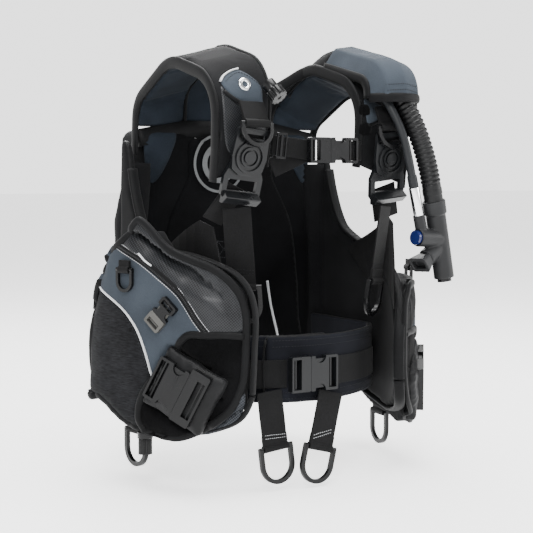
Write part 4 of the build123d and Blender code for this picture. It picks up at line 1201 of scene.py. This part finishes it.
LOBE_EDGE = {
    "right": [(-137, -22), (-139, 40), (-138, 92), (-118, 130), (-60, 149), (12, 155), (60, 177),
              (86, 222), (98, 260)],
    "left": [(-137, -22), (-139, 10), (-137, 40), (-118, 70), (-60, 119), (12, 153), (60, 177), (86, 222),
             (98, 260)],
}
LOBE_FOOT = [(-137, -24), (-128, -50), (-106, -66), (-60, -77), (0, -62), (60, -45), (108, -38)]
LOBE_BINDING = oval(3.6, 7.4)
for side, sign in (("right", -1), ("left", 1)):
    for part, line in (("top", LOBE_EDGE[side]), ("foot", LOBE_FOOT)):
        pts = [lobe_point(sign, *p) for p in smooth_line(line, 4)]
        ups = [Vector((p.x, min(p.y + 20, 0), 0)).normalized() for p in pts]
        strip(f"lobe_{side}_{part}_binding", pts, LOBE_BINDING, ups, BINDING)

# ---------------------------------------------------------------- back panel, seen from inside
back_skin = Skin(lambda a, b: (Vector((a, 20, b)), Vector((0, 1, 0)), 95), back_piece)
for side in (-1, 1):
    panel(f"back_corner_lining_{'right' if side < 0 else 'left'}", back_skin,
          [(side * x, z) for x, z in ((134, 306), (104, 313), (88, 311), (96, 284), (112, 254), (128, 240),
                                      (136, 270))],
          NAVY, 0.8, 2.0, 12, 5, 1.0, 40, seed=41)
panel("back_centre_lining", back_skin,
      [(-70, 250), (-66, 300), (0, 306), (66, 300), (70, 250), (100, 190), (112, 120), (118, 40),
       (120, -20), (60, -38),
       (0, -42), (-60, -38), (-120, -20), (-118, 40), (-112, 120), (-100, 190)],
      DULL, 0.8, 3.0, 16, 5, 1.6, 46, seed=43)
for side, label in ((1, "left"), (-1, "right")):
    trim(f"back_piping_{label}", back_skin, [(side * x, z) for x, z in ((60, 96), (66, 60), (76, 20),
        (82, -6))],
         3.4, 3.6, PIPING, step=3, lift=3.4)


def printed_ring(name, skin, centre, inner, outer, lift=5.2, parts=72):
    """A flat printed ring lying on a skin."""
    verts, faces = [], []
    for k in range(parts):
        a = 2 * math.pi * k / parts
        for r in (inner, outer):
            verts.append(skin.at(centre[0] + r * math.cos(a), centre[1] + r * math.sin(a), lift))
    for k in range(parts):
        m = (k + 1) % parts
        faces.append((2 * k, 2 * m, 2 * m + 1, 2 * k + 1))
    return piece(name, verts, faces, EMBLEM, "root")


printed_ring("emblem_outer_ring", back_skin, (-22, 268), 38, 42)
printed_ring("emblem_inner_ring", back_skin, (-22, 268), 20, 28)


# ---------------------------------------------------------------- cummerbund seams
WAIST_Y = 57.0


def waist_place(side):
    """Rays on to the cummerbund: a is the angle from straight ahead in degrees, b the height."""

    def place(a, b):
        angle = math.radians(a)
        out = Vector((math.sin(angle) * side, -math.cos(angle), 0))
        return Vector((0, WAIST_Y, b)) + out * 225, -out, 50

    return place


waist_skin = Skin(waist_place(1), belts["left"])
stitches("cummerbund_thread", waist_skin,
         [[(a, z) for a in range(-22, 57, 4)] for z in (-38, -30, 30, 38)],
         DARK_THREAD, 1.4, 2.8, 0.7, 0.5)
stitches("cummerbund_right_thread", Skin(waist_place(-1), belts["right"]),
         [[(a, z) for a in range(24, 57, 4)] for z in (-38, -30, 30, 38)],
         DARK_THREAD, 1.4, 2.8, 0.7, 0.5)
trim("cummerbund_end_binding", waist_skin, [(-24, -42), (-25.5, -30), (-26, 0), (-25.5, 30), (-24, 42)],
     2.2, 2.4, BINDING,
     step=1)
tail_skin = Skin(lambda a, b: (Vector((a, -170, b)), Vector((0, 1, 0)), 52), webs["waist_tail_right"],
                 webs["waist_belt_left"])
stitches("waist_tail_right_hem", tail_skin, [[(-82, -82), (-51, -82)], [(-82, -86), (-51, -86)]], THREAD,
         3.2, 2.3, 0.7, 0.4,
         body=BODY_OF["waist_tail_right"])
stitches("waist_tail_left_hem", tail_skin, [[(-15, -86), (15, -82)], [(-16, -90), (14, -86)]], THREAD, 3.2,
         2.3, 0.7, 0.4)
for side, label in ((-1, "right"), (1, "left")):
    web_skin = Skin(lambda a, b: (Vector((a, -190, b)), Vector((0, 1, 0)), 95),
                    webs["shoulder_tail_" + label])
    stitches(f"shoulder_tail_{label}_hem", web_skin, [[(side * 91, 126), (side * 121, 129)], [(side * 91,
        130), (side * 121, 133)]],
             DARK_THREAD, 3.2, 2.3, 0.7, 0.4, body=BODY_OF["shoulder_tail_" + label])
gusset_skin = Skin(lambda a, b: (Vector((a, -200, b)), Vector((0.35, 1, 0)).normalized(), 120),
                   webs["sewn_tabs"])
BOX = [(-176, 168), (-158, 166), (-156, 146), (-176, 148)]
stitches("gusset_box_thread", gusset_skin, [BOX[:2], BOX[1:3], BOX[2:], [BOX[3], BOX[0]], [BOX[0], BOX[2]],
                                            [BOX[1], BOX[3]]],
         DARK_THREAD, 3.0, 2.2, 0.8, 0.4)
cell_skin = Skin(lambda a, b: (Vector((a, 260, b)), Vector((0, -1, 0)), 80), cell_piece)
for side, label in ((-1, "right"), (1, "left")):
    trim(f"air_cell_{label}_piping", cell_skin,
         [(side * x, z) for x, z in ((104, 296), (124, 250), (132, 180), (138, 100), (144, 20),
                                     (138, -24))],
         4, 2.6, BINDING, step=5)
    trim(f"air_cell_{label}_grey_line", cell_skin,
         [(side * x, z) for x, z in ((112, 278), (127, 230), (134, 170), (139, 100))], 2.6, 2.4, PIPING,
         step=5)

# ---------------------------------------------------------------- floor and light
floor_mesh = bpy.data.meshes.new("floor")
low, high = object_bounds()
FLOOR_DROP = 0.004
half = 30.0
floor_mesh.from_pydata(
    [(x * half, y * half, low.z - FLOOR_DROP) for x, y in ((-1, -1), (1, -1), (1, 1), (-1, 1))], [],
    [(0, 1, 2, 3)]
)
floor = bpy.data.objects.new("floor", floor_mesh)
bpy.context.scene.collection.objects.link(floor)
floor_material, floor_node = shader("floor", 0.9)
floor_node.inputs["Base Color"].default_value = (0.5, 0.5, 0.5, 1)
floor_node.inputs["Specular IOR Level"].default_value = 0.0
floor_node.inputs["Emission Color"].default_value = (1, 1, 1, 1)
floor_node.inputs["Emission Strength"].default_value = 1.75
floor_mesh.materials.append(floor_material)
# the studio's wall is bright near the horizon, and its ceiling is dim
WALL_LIGHT = 2.4
CEILING_LIGHT = 0.5
world = bpy.data.worlds.new("studio")
world.use_nodes = True
sky = world.node_tree.nodes["Background"]
sky.inputs["Color"].default_value = (1, 1, 1, 1)
heading = world.node_tree.nodes.new("ShaderNodeTexCoord")
parts = world.node_tree.nodes.new("ShaderNodeSeparateXYZ")
level = world.node_tree.nodes.new("ShaderNodeMapRange")
level.inputs["From Min"].default_value = 0.2
level.inputs["From Max"].default_value = 0.45
level.inputs["To Min"].default_value = WALL_LIGHT
level.inputs["To Max"].default_value = CEILING_LIGHT
link(world.node_tree, heading.outputs["Generated"], parts.inputs["Vector"])
link(world.node_tree, parts.outputs["Z"], level.inputs["Value"])
link(world.node_tree, level.outputs["Result"], sky.inputs["Strength"])
bpy.context.scene.world = world


def light(name, at, size, power, target=TARGET):
    data = bpy.data.lights.new(name, "AREA")
    data.shape = "DISK"
    data.size = size
    data.energy = power
    obj = bpy.data.objects.new(name, data)
    obj.location = Vector(at) * MM
    obj.rotation_mode = "QUATERNION"
    obj.rotation_quaternion = (obj.location - target * MM).to_track_quat("Z", "Y")
    bpy.context.scene.collection.objects.link(obj)


light("key", (-1300, -1700, 1500), 0.7, 60)
light("fill", (1500, -1100, 700), 1.0, 22)
light("top", (0, 0, 2600), 2.6, 260, Vector((0, 0, 0)))
light("rim", (500, 1500, 1500), 1.0, 40)
